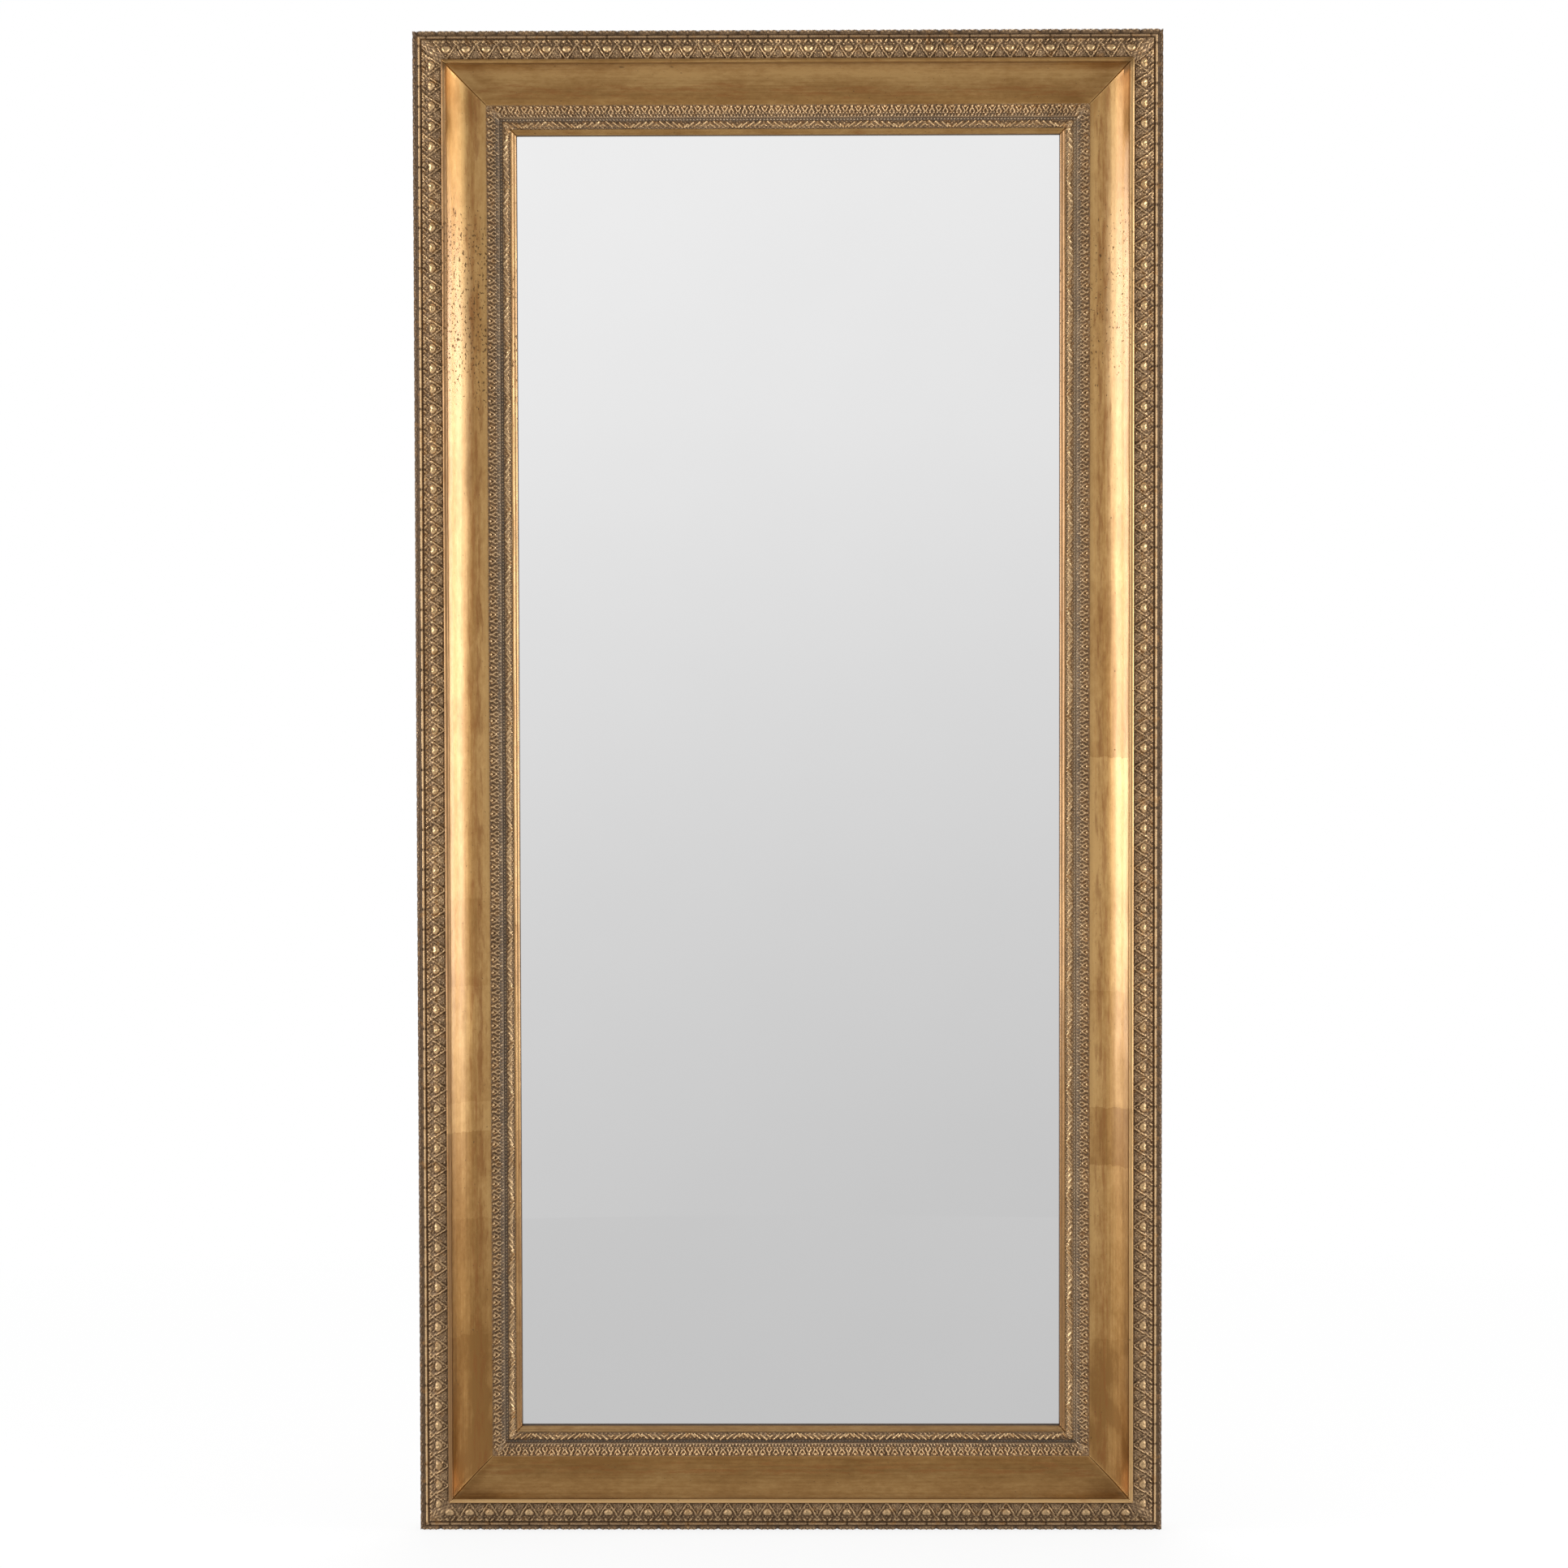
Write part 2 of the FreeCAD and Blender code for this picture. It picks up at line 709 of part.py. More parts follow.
# Every object is sound before anything is written
for item in doc.Objects:
    if "Invalid" in item.State or "Error" in item.State:
        raise RuntimeError(f"{item.Label}: {item.State}")
for node in nodes:
    if node.Shape.isNull() or not node.Shape.isValid() or not node.Shape.Solids:
        raise RuntimeError(f"{node.Label}: no sound solid")

os.makedirs("parts", exist_ok=True)
for node in nodes:
    node.Shape.exportStep(f"parts/{node.Label}.step")
    print(f"{node.Label}: {len(node.Shape.Solids)} solids, {node.Shape.Volume:.1f} mm3")
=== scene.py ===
import math

import bpy
import numpy as np
from mathutils import Matrix, Vector


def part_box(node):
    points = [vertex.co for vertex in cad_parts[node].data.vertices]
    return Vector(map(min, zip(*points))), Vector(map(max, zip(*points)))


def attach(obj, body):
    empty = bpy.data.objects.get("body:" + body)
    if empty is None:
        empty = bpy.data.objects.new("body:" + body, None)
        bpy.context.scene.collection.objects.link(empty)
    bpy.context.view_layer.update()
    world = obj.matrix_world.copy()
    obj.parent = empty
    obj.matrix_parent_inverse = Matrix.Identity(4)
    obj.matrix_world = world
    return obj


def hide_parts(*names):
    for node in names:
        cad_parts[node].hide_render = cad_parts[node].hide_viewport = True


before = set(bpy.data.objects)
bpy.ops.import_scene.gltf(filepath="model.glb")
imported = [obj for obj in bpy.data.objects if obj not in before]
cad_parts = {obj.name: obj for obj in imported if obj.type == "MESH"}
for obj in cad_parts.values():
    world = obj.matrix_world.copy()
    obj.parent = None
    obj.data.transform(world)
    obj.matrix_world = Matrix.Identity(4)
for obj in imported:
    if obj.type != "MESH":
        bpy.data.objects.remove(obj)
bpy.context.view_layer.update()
mm = 0.001
scene = bpy.context.scene
print("frame loaded:", len(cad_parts), "nodes")

# The four lengths of moulding share one local frame: along the length, inward from the outer edge
# to the glass, and forward from the back plane. All profile sizes are in millimetres.
outerX = -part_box("edge_strip_left")[0].x / mm
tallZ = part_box("edge_strip_left")[1].z / mm
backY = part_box("left_stile")[1].y / mm
sides = {
    "bottom": {"wood": "bottom_rail", "length": 2 * outerX, "start": (0, backY, 0),
               "along": (-1, 0, 0), "inward": (0, 0, 1), "grainStart": 0,
               "eggShift": 4.3, "budShift": 2.0, "waveShift": -8.0},
    "left": {"wood": "left_stile", "length": tallZ, "start": (-outerX, backY, tallZ / 2),
             "along": (0, 0, 1), "inward": (1, 0, 0), "grainStart": 2300,
             "eggShift": -5.4, "budShift": -3.0, "waveShift": 11.0},
    "top": {"wood": "top_rail", "length": 2 * outerX, "start": (0, backY, tallZ),
            "along": (1, 0, 0), "inward": (0, 0, -1), "grainStart": 5100,
            "eggShift": 1.1, "budShift": 5.0, "waveShift": 4.0},
    "right": {"wood": "right_stile", "length": tallZ, "start": (outerX, backY, tallZ / 2),
              "along": (0, 0, -1), "inward": (-1, 0, 0), "grainStart": 8200,
              "eggShift": 4.3, "budShift": -6.0, "waveShift": -19.0},
}


def bandAcross(strip):
    low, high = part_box(strip + "_left")
    return low.x / mm + outerX, high.x / mm + outerX


edgeBand = bandAcross("edge_strip")
beadBand = bandAcross("bead_strip")
budBand = bandAcross("bud_strip")
leafBand = bandAcross("leaf_strip")
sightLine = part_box("left_stile")[1].x / mm + outerX


def lengthKind(side):
    return "stile" if side in ("left", "right") else "rail"


def upStile(side, s):
    return {"left": s, "right": -s}.get(side, 0 * s)  # from the middle of a stile, nought on a rail


# Shader helpers

def newMaterial(name):
    material = bpy.data.materials.new(name)
    material.use_nodes = True
    return material, material.node_tree, material.node_tree.nodes["Principled BSDF"]


def plug(tree, made, feeds):
    for socket, value in feeds.items():
        if isinstance(value, bpy.types.NodeSocket):
            tree.links.new(value, made.inputs[socket])
        else:
            made.inputs[socket].default_value = value
    return made


def wire(tree, kind, feeds=None, **props):
    made = tree.nodes.new(kind)
    for key, value in props.items():
        setattr(made, key, value)
    return plug(tree, made, feeds or {})


def sums(tree, operation, first, second=None, third=None, clamp=False):
    feeds = {place: value for place, value in enumerate((first, second, third)) if value is not None}
    return wire(tree, "ShaderNodeMath", feeds, operation=operation, use_clamp=clamp).outputs[0]


def plus(tree, base, extra, share):
    return sums(tree, "ADD", base, sums(tree, "MULTIPLY", extra, share))


def weighed(tree, first, firstShare, second, secondShare):
    return plus(tree, sums(tree, "MULTIPLY", first, firstShare), second, secondShare)


def product(tree, first, *others):
    for value in others:
        first = sums(tree, "MULTIPLY", first, value)
    return first


def held(tree, name):
    return wire(tree, "ShaderNodeAttribute", attribute_name=name).outputs["Fac"]


def noise(tree, vector, scale, detail, rough):
    feeds = {"Vector": vector, "Scale": scale, "Detail": detail, "Roughness": rough}
    return wire(tree, "ShaderNodeTexNoise", feeds).outputs["Fac"]


def stretched(tree, along, across, alongScale, acrossScale, shift=0.0):
    feeds = {0: sums(tree, "MULTIPLY", along, alongScale),
             1: sums(tree, "MULTIPLY", across, acrossScale), 2: shift}
    return wire(tree, "ShaderNodeCombineXYZ", feeds).outputs[0]


def grain(tree, along, across, spec):
    alongScale, acrossScale, shift, detail, rough = spec
    return noise(tree, stretched(tree, along, across, alongScale, acrossScale, shift), 1.0, detail, rough)


def ramp(tree, factor, places, colours, kind="LINEAR"):
    made = wire(tree, "ShaderNodeValToRGB", {"Fac": factor})
    bar = made.color_ramp
    bar.interpolation = kind
    bar.elements.remove(bar.elements[1])
    bar.elements[0].position = places[0]
    bar.elements[0].color = (*colours[0], 1)
    for place, colour in zip(places[1:], colours[1:]):
        bar.elements.new(place).color = (*colour, 1)
    return made.outputs["Color"]


def greyRamp(tree, factor, stops, kind="LINEAR"):
    places, levels = zip(*stops)
    return ramp(tree, factor, places, [(level,) * 3 for level in levels], kind)


def span(tree, value, low, high, outLow=0.0, outHigh=1.0):
    feeds = {"Value": value, "From Min": low, "From Max": high, "To Min": outLow, "To Max": outHigh}
    return wire(tree, "ShaderNodeMapRange", feeds, clamp=True).outputs["Result"]


def blendColour(tree, factor, first, second, mode="MIX"):
    made = wire(tree, "ShaderNodeMix", data_type="RGBA", blend_type=mode, clamp_factor=True)
    for socket, value in (("Factor_Float", factor), ("A_Color", first), ("B_Color", second)):
        target = next(item for item in made.inputs if item.identifier == socket)
        if isinstance(value, bpy.types.NodeSocket):
            tree.links.new(value, target)
        else:
            target.default_value = (*value, 1) if isinstance(value, tuple) else value
    return next(item for item in made.outputs if item.identifier == "Result_Color")


def bump(tree, height, strength, distance):
    feeds = {"Height": height, "Strength": strength, "Distance": distance}
    return wire(tree, "ShaderNodeBump", feeds).outputs["Normal"]


# Gold leaf over red bole on the hollow, the lip and the sight edge. In every finish a grain of five
# is its scale along, scale across, offset, detail and roughness, a grain of three is its scale,
# detail and roughness, and a span is from, to and what comes out.
goldLeaf = {
    "deep": (0.277, 0.136, 0.037), "gold": (0.394, 0.211, 0.067), "pale": (0.536, 0.320, 0.118),
    "bole": (0.27, 0.095, 0.022), "grimeAndShade": (0.085, 0.042, 0.014), "stops": (0.38, 0.56, 0.74),
    "cloud": (9.0, 22.0, 0.0, 5.0, 0.6), "streak": (5.0, 330.0, 3.1, 6.0, 0.62),
    "fine": (60.0, 900.0, 7.7, 3.0, 0.6), "wander": (12.0, 90.0, 5.0, 4.0, 0.6),
    "mottle": (70.0, 150.0, 23.0, 6.0, 0.72), "worn": (22.0, 150.0, 11.0, 6.0, 0.7),
    "speck": (210.0, 330.0, 17.0, 2.0, 0.55),
    "byCloud": 0.46, "byStreak": 0.32, "byMottle": 0.42, "toneShift": -0.515,
    "wornByRub": 0.16, "wornSpan": (0.63, 0.75), "wornMost": 0.45,
    "speckByCount": 0.12, "speckSpan": (0.71, 0.76, 0.0, 0.8),
    "shadeAndDirtByFine": 0.35, "shadeAndDirtSpan": (0.36, 1.05),
    "metal": (0.0, 1.0, 1.0, 0.5), "rough": (0.3, 0.7, 0.32, 0.44), "roughByDull": 0.22,
    "coatSpan": (0.0, 0.6, 1.0, 0.0), "coatIor": 1.7, "coatRough": 0.24,
    "streakHigh": 0.7, "fineHigh": 0.3, "wornDeep": 0.35, "lapHigh": 0.8, "bump": (0.22, 0.0006),
    # leaves laid up the two stiles: how far along each starts, from the middle of the length in
    # metres, and its tone; the ramp that holds them is rampLength long
    "rampLength": 10.0, "evenTone": 0.5, "lastLeaf": 1.0,
    "lap": 0.0035, "lapTone": 0.06, "lapWander": 0.0012,
    "leaves": {
        "left": ((-1.0, -0.16), (-0.749, -0.09), (-0.606, -0.03), (-0.465, 0.03), (-0.311, -0.02),
                 (-0.168, 0.03), (0.261, 0.0)),
        "right": ((-1.0, -0.02), (-0.30, -0.05), (-0.044, 0.08), (0.240, 0.02), (0.406, -0.13),
                  (0.506, 0.0), (0.705, -0.09)),
    },
}


def leafStops():
    even = goldLeaf["evenTone"]
    stops = [(0.0, even)]
    for side, leaves in goldLeaf["leaves"].items():
        for start, tone in leaves:
            spot = sides[side]["grainStart"] * mm + start
            stops += [(spot, even + tone + goldLeaf["lapTone"]), (spot + goldLeaf["lap"], even + tone)]
        stops.append((spot + goldLeaf["lastLeaf"], even))
    return [(place / goldLeaf["rampLength"], level) for place, level in stops]


def makeGoldLeaf():
    g = goldLeaf
    material, tree, shader = newMaterial("rubbedGoldLeaf")
    along, across = held(tree, "along"), held(tree, "across")
    cloud, streak, fine, wander, mottle, worn, speck = (
        grain(tree, along, across, g[kind])
        for kind in ("cloud", "streak", "fine", "wander", "mottle", "worn", "speck"))
    # square leaves laid one after another, each a little different, with a lap where two meet
    sway = sums(tree, "MULTIPLY_ADD", wander, g["lapWander"], -g["lapWander"] / 2)
    place = sums(tree, "MULTIPLY_ADD", along, 1 / g["rampLength"], sway)
    leafTone = greyRamp(tree, place, leafStops(), "CONSTANT")
    tone = sums(tree, "ADD", weighed(tree, cloud, g["byCloud"], streak, g["byStreak"]),
                sums(tree, "MULTIPLY_ADD", mottle, g["byMottle"], g["toneShift"]))
    tone = sums(tree, "ADD", sums(tree, "ADD", tone, held(tree, "toneShadeAndHighlight")), leafTone)
    colour = ramp(tree, tone, g["stops"], (g["deep"], g["gold"], g["pale"]))
    # bole showing where the leaf is rubbed thin, in streaks down the middle of the hollow
    wornMask = span(tree, plus(tree, worn, held(tree, "rub"), g["wornByRub"]), *g["wornSpan"])
    wornMask = sums(tree, "MULTIPLY", wornMask, g["wornMost"])
    colour = blendColour(tree, wornMask, colour, g["bole"])
    speckMask = span(tree, plus(tree, speck, held(tree, "specks"), g["speckByCount"]), *g["speckSpan"])
    # dark mixed in for dirt and specks, and as painted shade in the creases of the hollow, beside the lip
    # and on the wall by the glass
    shadeAndDirt = span(tree, plus(tree, held(tree, "grimeAndShade"), fine, g["shadeAndDirtByFine"]), *g["shadeAndDirtSpan"])
    shadeAndDirt = sums(tree, "MAXIMUM", shadeAndDirt, speckMask)
    dull = sums(tree, "MAXIMUM", wornMask, shadeAndDirt)
    rough = sums(tree, "ADD", span(tree, streak, *g["rough"]),
                 sums(tree, "MULTIPLY", dull, g["roughByDull"]), clamp=True)
    height = weighed(tree, streak, g["streakHigh"], fine, g["fineHigh"])
    height = sums(tree, "SUBTRACT", height, sums(tree, "MULTIPLY", wornMask, g["wornDeep"]))
    height = plus(tree, height, leafTone, g["lapHigh"])
    plug(tree, shader, {
        "Base Color": blendColour(tree, shadeAndDirt, colour, g["grimeAndShade"]),
        "Metallic": span(tree, dull, *g["metal"]), "Roughness": rough,
        "Coat Weight": sums(tree, "MULTIPLY", held(tree, "lacquer"), span(tree, dull, *g["coatSpan"])),
        "Coat IOR": g["coatIor"], "Coat Roughness": g["coatRough"],
        "Normal": bump(tree, height, *g["bump"]),
    })
    return material


# Cast ornament, gilded, and darker in its recesses: partly toning, partly painted shade
castOrnament = {
    "recessToneAndShade": (0.105, 0.058, 0.025), "ground": (0.340, 0.212, 0.114), "gilt": (0.86, 0.580, 0.300),
    "crest": (0.36, 0.235, 0.112), "stops": (0.12, 0.36, 0.62, 0.96),
    "ochre": (0.42, 0.205, 0.060), "slate": (0.245, 0.210, 0.172), "bloom": (0.70, 0.585, 0.430),
    "grain": (640.0, 3.0, 0.6), "cloud": (26.0, 4.0, 0.6), "rust": (75.0, 3.0, 0.55),
    "byGrain": (0.70, -0.36), "byCloud": (0.30, -0.15), "rustSpan": (0.56, 0.70, 0.0, 0.5),
    "slateSpan": (0.75, 0.35), "bloomSpan": (0.45, 0.68, 0.0, 1.2),
    "metal": (0.20, 0.85, 0.15, 0.92), "rough": (0.15, 0.90, 0.50, 0.14), "specular": 0.3,
    "bump": (0.55, 0.0007),
    # painted shade: the bead of the bottom length and the feet of the stiles are darkened, and their
    # shine is taken off
    "bottomShade": (0.205, 0.138, 0.083), "bottomShadeShare": 0.4, "metalByBottomShade": (0.0, 1.0, 1.0, 0.45),
    "roughByDustAndShade": 0.30, "shadeOnBottom": 0.7, "shadeOnFeet": 0.6, "feet": (200, 900),
}


def makeCastOrnament():
    c = castOrnament
    material, tree, shader = newMaterial("tonedAndShadedCastOrnament")
    flat = stretched(tree, held(tree, "along"), held(tree, "across"), 1.0, 1.0)
    patina, dustAndShade = held(tree, "patina"), held(tree, "dustAndShade")
    sand = noise(tree, flat, *c["grain"])
    lift = sums(tree, "ADD", held(tree, "relief"), sums(tree, "MULTIPLY_ADD", sand, *c["byGrain"]))
    cloud = noise(tree, flat, *c["cloud"])
    lift = sums(tree, "ADD", lift, sums(tree, "MULTIPLY_ADD", cloud, *c["byCloud"]))
    colour = ramp(tree, lift, c["stops"], (c["recessToneAndShade"], c["ground"], c["gilt"], c["crest"]))
    rusty = span(tree, noise(tree, flat, *c["rust"]), *c["rustSpan"])
    slate = sums(tree, "MULTIPLY", patina, span(tree, lift, *c["slateSpan"]))
    bloom = sums(tree, "MULTIPLY", patina, span(tree, lift, *c["bloomSpan"]))
    # painted shade mixed in on the bottom bead and the feet of the stiles
    dustyAndShaded = sums(tree, "MULTIPLY", dustAndShade, c["bottomShadeShare"])
    for share, over in ((rusty, "ochre"), (slate, "slate"), (bloom, "bloom"), (dustyAndShaded, "bottomShade")):
        colour = blendColour(tree, share, colour, c[over])
    plug(tree, shader, {
        "Base Color": colour,
        "Metallic": product(tree, span(tree, lift, *c["metal"]), span(tree, dustAndShade, *c["metalByBottomShade"])),
        "Roughness": plus(tree, span(tree, lift, *c["rough"]), dustAndShade, c["roughByDustAndShade"]),
        "Specular IOR Level": c["specular"], "Normal": bump(tree, sand, *c["bump"]),
    })
    return material


# Bare softwood on the back and in the rabbet
bareWood = {
    "light": (0.46, 0.31, 0.175), "dark": (0.24, 0.140, 0.070), "stops": (0.25, 0.85),
    "bend": (2.2, 14.0, 0.0, 3.0, 0.55), "fibre": (30.0, 1400.0, 0.0, 5.0, 0.6),
    "stain": (3.0, 9.0, 2.0, 5.0, 0.6), "rings": 210.0, "ringsByBend": 7.0,
    "byRings": 0.42, "byFibre": 0.40, "byStain": (0.6, -0.22),
    "rough": (0.3, 0.7, 0.82, 0.66), "bump": (0.4, 0.0006),
}


def makeBareWood():
    b = bareWood
    material, tree, shader = newMaterial("agedSoftwood")
    along, across = held(tree, "along"), held(tree, "across")
    bend, fibre, stain = (grain(tree, along, across, b[kind]) for kind in ("bend", "fibre", "stain"))
    rings = sums(tree, "PINGPONG", weighed(tree, across, b["rings"], bend, b["ringsByBend"]), 1.0)
    tone = sums(tree, "ADD", weighed(tree, rings, b["byRings"], fibre, b["byFibre"]),
                sums(tree, "MULTIPLY_ADD", stain, *b["byStain"]))
    plug(tree, shader, {
        "Base Color": ramp(tree, tone, b["stops"], (b["dark"], b["light"])),
        "Roughness": span(tree, fibre, *b["rough"]), "Normal": bump(tree, fibre, *b["bump"]),
    })
    return material


# Ochre wash on the outer sides of the moulding
sideWash = {
    "light": (0.30, 0.185, 0.085), "dark": (0.12, 0.070, 0.034), "stops": (0.32, 0.66),
    "brush": (8.0, 260.0, 0.0, 6.0, 0.65), "scuff": (30.0, 40.0, 4.0, 5.0, 0.65),
    "byBrush": 0.6, "byScuff": 0.4, "rough": (0.3, 0.7, 0.66, 0.48), "metal": 0.25, "bump": (0.3, 0.0005),
}


def makeSideWash():
    w = sideWash
    material, tree, shader = newMaterial("ochreSideWash")
    along, across = held(tree, "along"), held(tree, "across")
    brush, scuff = (grain(tree, along, across, w[kind]) for kind in ("brush", "scuff"))
    tone = weighed(tree, brush, w["byBrush"], scuff, w["byScuff"])
    plug(tree, shader, {
        "Base Color": ramp(tree, tone, w["stops"], (w["dark"], w["light"])), "Metallic": w["metal"],
        "Roughness": span(tree, tone, *w["rough"]), "Normal": bump(tree, brush, *w["bump"]),
    })
    return material


goldMat = makeGoldLeaf()
ornamentMat = makeCastOrnament()
woodMat = makeBareWood()
sideMat = makeSideWash()
print("gilding, ornament and wood materials made")


# Profiles across the moulding, walked from the outer edge over the front to the glass and home along
# the back. Each station is where a run ends (inward, forward), how far it bows out, how finely it is
# cut, and what kind of run it is.

def arc(start, end, rise, step):
    start, end = np.array(start, float), np.array(end, float)
    chord = end - start
    half = np.hypot(*chord) / 2
    across = np.array([-chord[1], chord[0]]) / (2 * half)
    radius = (half ** 2 + rise ** 2) / (2 * abs(rise))
    centre = (start + end) / 2 + across * (rise - math.copysign(radius, rise))
    first = math.atan2(*(start - centre)[::-1])
    turn = math.atan2(*(end - centre)[::-1]) - first
    turn = (turn + math.pi) % (2 * math.pi) - math.pi
    count = max(2, round(abs(turn) * radius / step))
    angles = first + turn * np.arange(count + 1) / count
    return centre + radius * np.stack([np.cos(angles), np.sin(angles)], 1)


def line(start, end, step):
    start, end = np.array(start, float), np.array(end, float)
    count = max(1, round(np.hypot(*(end - start)) / step)) if step else 1
    return start + (end - start) * (np.arange(count + 1) / count)[:, None]


def walked(here, stations):
    spots, kinds = [], []
    for there, rise, cut, kind in stations:
        points = arc(here, there, rise, cut) if rise else line(here, there, cut)
        spots += list(points[:-1])
        kinds += [kind] * (len(points) - 1)
        here = there
    return np.array(spots), np.array(kinds)


def columnsFor(length, step, near):
    count = max(4, round((length - 2 * near[-1]) / step))
    share = np.concatenate([[-1] * len(near), np.linspace(-1, 1, count + 1)[1:-1], [1] * len(near)])
    inset = np.concatenate([near, [near[-1]] * (count - 1), near[::-1]])
    return share, inset


def profileNormals(spots):
    ahead, behind = np.roll(spots, -1, 0) - spots, spots - np.roll(spots, 1, 0)
    ahead /= np.hypot(*ahead.T)[:, None]
    behind /= np.hypot(*behind.T)[:, None]
    tangent = ahead + behind
    tangent /= np.maximum(np.hypot(*tangent.T), 1e-6)[:, None]
    return np.stack([-tangent[:, 1], tangent[:, 0]], 1)


# shares of the unfolded square: margins of the rows, and where the two end caps go
bakeFold = {"left": 0.01, "wide": 0.95, "low": 0.03, "high": 0.94,
            "capAt": 0.965, "capSize": 0.03, "capDrop": 0.05}


def unfolded(spots, walk, columns, length):
    # where each face lies on the flat, folded into rows so that a long length fills a square
    b, rows = bakeFold, len(spots)
    folds = max(1, round(math.sqrt(length / walk[-1])))
    fold = np.minimum(np.arange(columns - 1) * folds // (columns - 1), folds - 1)
    firstColumn = np.array([np.argmax(fold == count) for count in range(folds)])
    widest = max(np.sum(fold == count) for count in range(folds))
    leftU = (np.arange(columns - 1) - firstColumn[fold]) / widest
    acrossV = walk / walk[-1]
    uv = np.zeros((rows, columns - 1, 4, 2))
    for corner, (down, over) in enumerate(((0, 0), (1, 0), (1, 1), (0, 1))):
        uv[:, :, corner, 0] = b["left"] + b["wide"] * (leftU[None, :] + over / widest)
        up = b["low"] + b["high"] * acrossV[down:rows + down, None]
        uv[:, :, corner, 1] = (fold[None, :] + up) / folds
    box = spots - spots.min(0)
    caps = b["capAt"] + b["capSize"] * box / box.max()
    return np.concatenate([part.reshape(-1) for part in (uv, caps[::-1], caps - [0, b["capDrop"]])])


def sweepLength(name, side, spots, share, inset, lift, finishes, materials, facts):
    place = sides[side]
    across = spots[:, None, :] + profileNormals(spots)[:, None, :] * lift[:, :, None]
    inward, forward = across[:, :, 0], across[:, :, 1]
    along = share[None, :] * (place["length"] / 2 - inward - inset[None, :])
    axisA, axisI = np.array(place["along"], float), np.array(place["inward"], float)
    points = (np.array(place["start"], float) + along[..., None] * axisA + inward[..., None] * axisI
              + forward[..., None] * np.array([0.0, -1.0, 0.0])) * mm
    rows, columns = inward.shape
    grid = np.arange(rows * columns).reshape(rows, columns)
    after = np.roll(grid, -1, 0)
    quads = np.stack([grid[:, :-1], after[:, :-1], after[:, 1:], grid[:, 1:]], -1).reshape(-1, 4)
    caps = np.concatenate([grid[::-1, 0], grid[:, -1]])
    mesh = bpy.data.meshes.new(name)
    mesh.vertices.add(rows * columns)
    mesh.vertices.foreach_set("co", points.reshape(-1).astype(np.float32))
    mesh.loops.add(quads.size + caps.size)
    mesh.loops.foreach_set("vertex_index", np.concatenate([quads.reshape(-1), caps]).astype(np.int32))
    mesh.polygons.add(len(quads) + 2)
    starts = np.concatenate([np.arange(len(quads)) * 4, quads.size + np.array([0, rows])])
    mesh.polygons.foreach_set("loop_start", starts.astype(np.int32))
    index = np.concatenate([np.repeat(finishes, columns - 1), [finishes[-1]] * 2])
    mesh.polygons.foreach_set("material_index", index.astype(np.int32))
    smooth = np.ones(len(quads) + 2, bool)
    smooth[-2:] = False  # the two mitre ends
    mesh.polygons.foreach_set("use_smooth", smooth)
    mesh.update(calc_edges=True)
    walk = np.concatenate([[0], np.cumsum(np.hypot(*(np.roll(spots, -1, 0) - spots).T))])
    layer = mesh.uv_layers.new(name="OFBake")
    layer.data.foreach_set("uv", unfolded(spots, walk, columns, place["length"]).astype(np.float32))
    shifted = (along + place["grainStart"]) * mm
    for fact, values in {"along": shifted, "across": walk[:rows, None] * mm, **facts}.items():
        everywhere = np.broadcast_to(values, (rows, columns)).reshape(-1)
        stored = mesh.attributes.new(fact, "FLOAT", "POINT")
        stored.data.foreach_set("value", everywhere.astype(np.float32))
    piece = bpy.data.objects.new(name, mesh)
    scene.collection.objects.link(piece)
    for material in materials:
        mesh.materials.append(material)
    return piece


def dressed(piece, node, crease):
    piece.data.set_sharp_from_angle(angle=math.radians(crease))
    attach(piece, "frame")
    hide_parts(node)
    return piece


# Ornament motifs in millimetres: u along from the middle of a repeat, v in from the outer edge of
# the strip. A dome is its place, its two half widths and its height; a ridge is its two ends, its
# half width and its height.
rounding = {"dome": 0.75, "ridge": 0.95, "net": 0.7}


def dome(u, v, u0, v0, ru, rv, high):
    inside = 1 - ((u - u0) / ru) ** 2 - ((v - v0) / rv) ** 2
    return high * np.clip(inside, 0, None) ** rounding["dome"]


def ridge(u, v, u0, v0, u1, v1, half, high):
    du, dv = u1 - u0, v1 - v0
    t = np.clip(((u - u0) * du + (v - v0) * dv) / (du * du + dv * dv), 0, 1)
    away = np.hypot(u - u0 - t * du, v - v0 - t * dv)
    return high * np.clip(1 - (away / half) ** 2, 0, None) ** rounding["ridge"]


def net(u, v, gapU, gapV, high):
    holes = np.cos(2 * np.pi * u / gapU) * np.cos(2 * np.pi * v / gapV)
    return high * np.clip(holes, 0, None) ** rounding["net"]


def tops(*parts):
    highest = parts[0]
    for part in parts[1:]:
        highest = np.maximum(highest, part)
    return highest


def domes(u, v, spots, base=0.0):
    return tops(*(dome(u, v, base + u0, *rest) for u0, *rest in spots))


def ridges(u, v, runs, base=0.0):
    return tops(*(ridge(u, v, base + u0, v0, base + u1, *rest) for u0, v0, u1, *rest in runs))


def fromMiddle(s, pitch):
    return (s + pitch / 2) % pitch - pitch / 2


def ease(value, low, high):
    t = np.clip((value - low) / (high - low), 0, 1)
    return t * t * (3 - 2 * t)


def hump(value, rise, full, drop, end):
    return ease(value, rise, full) * ease(value, end, drop)


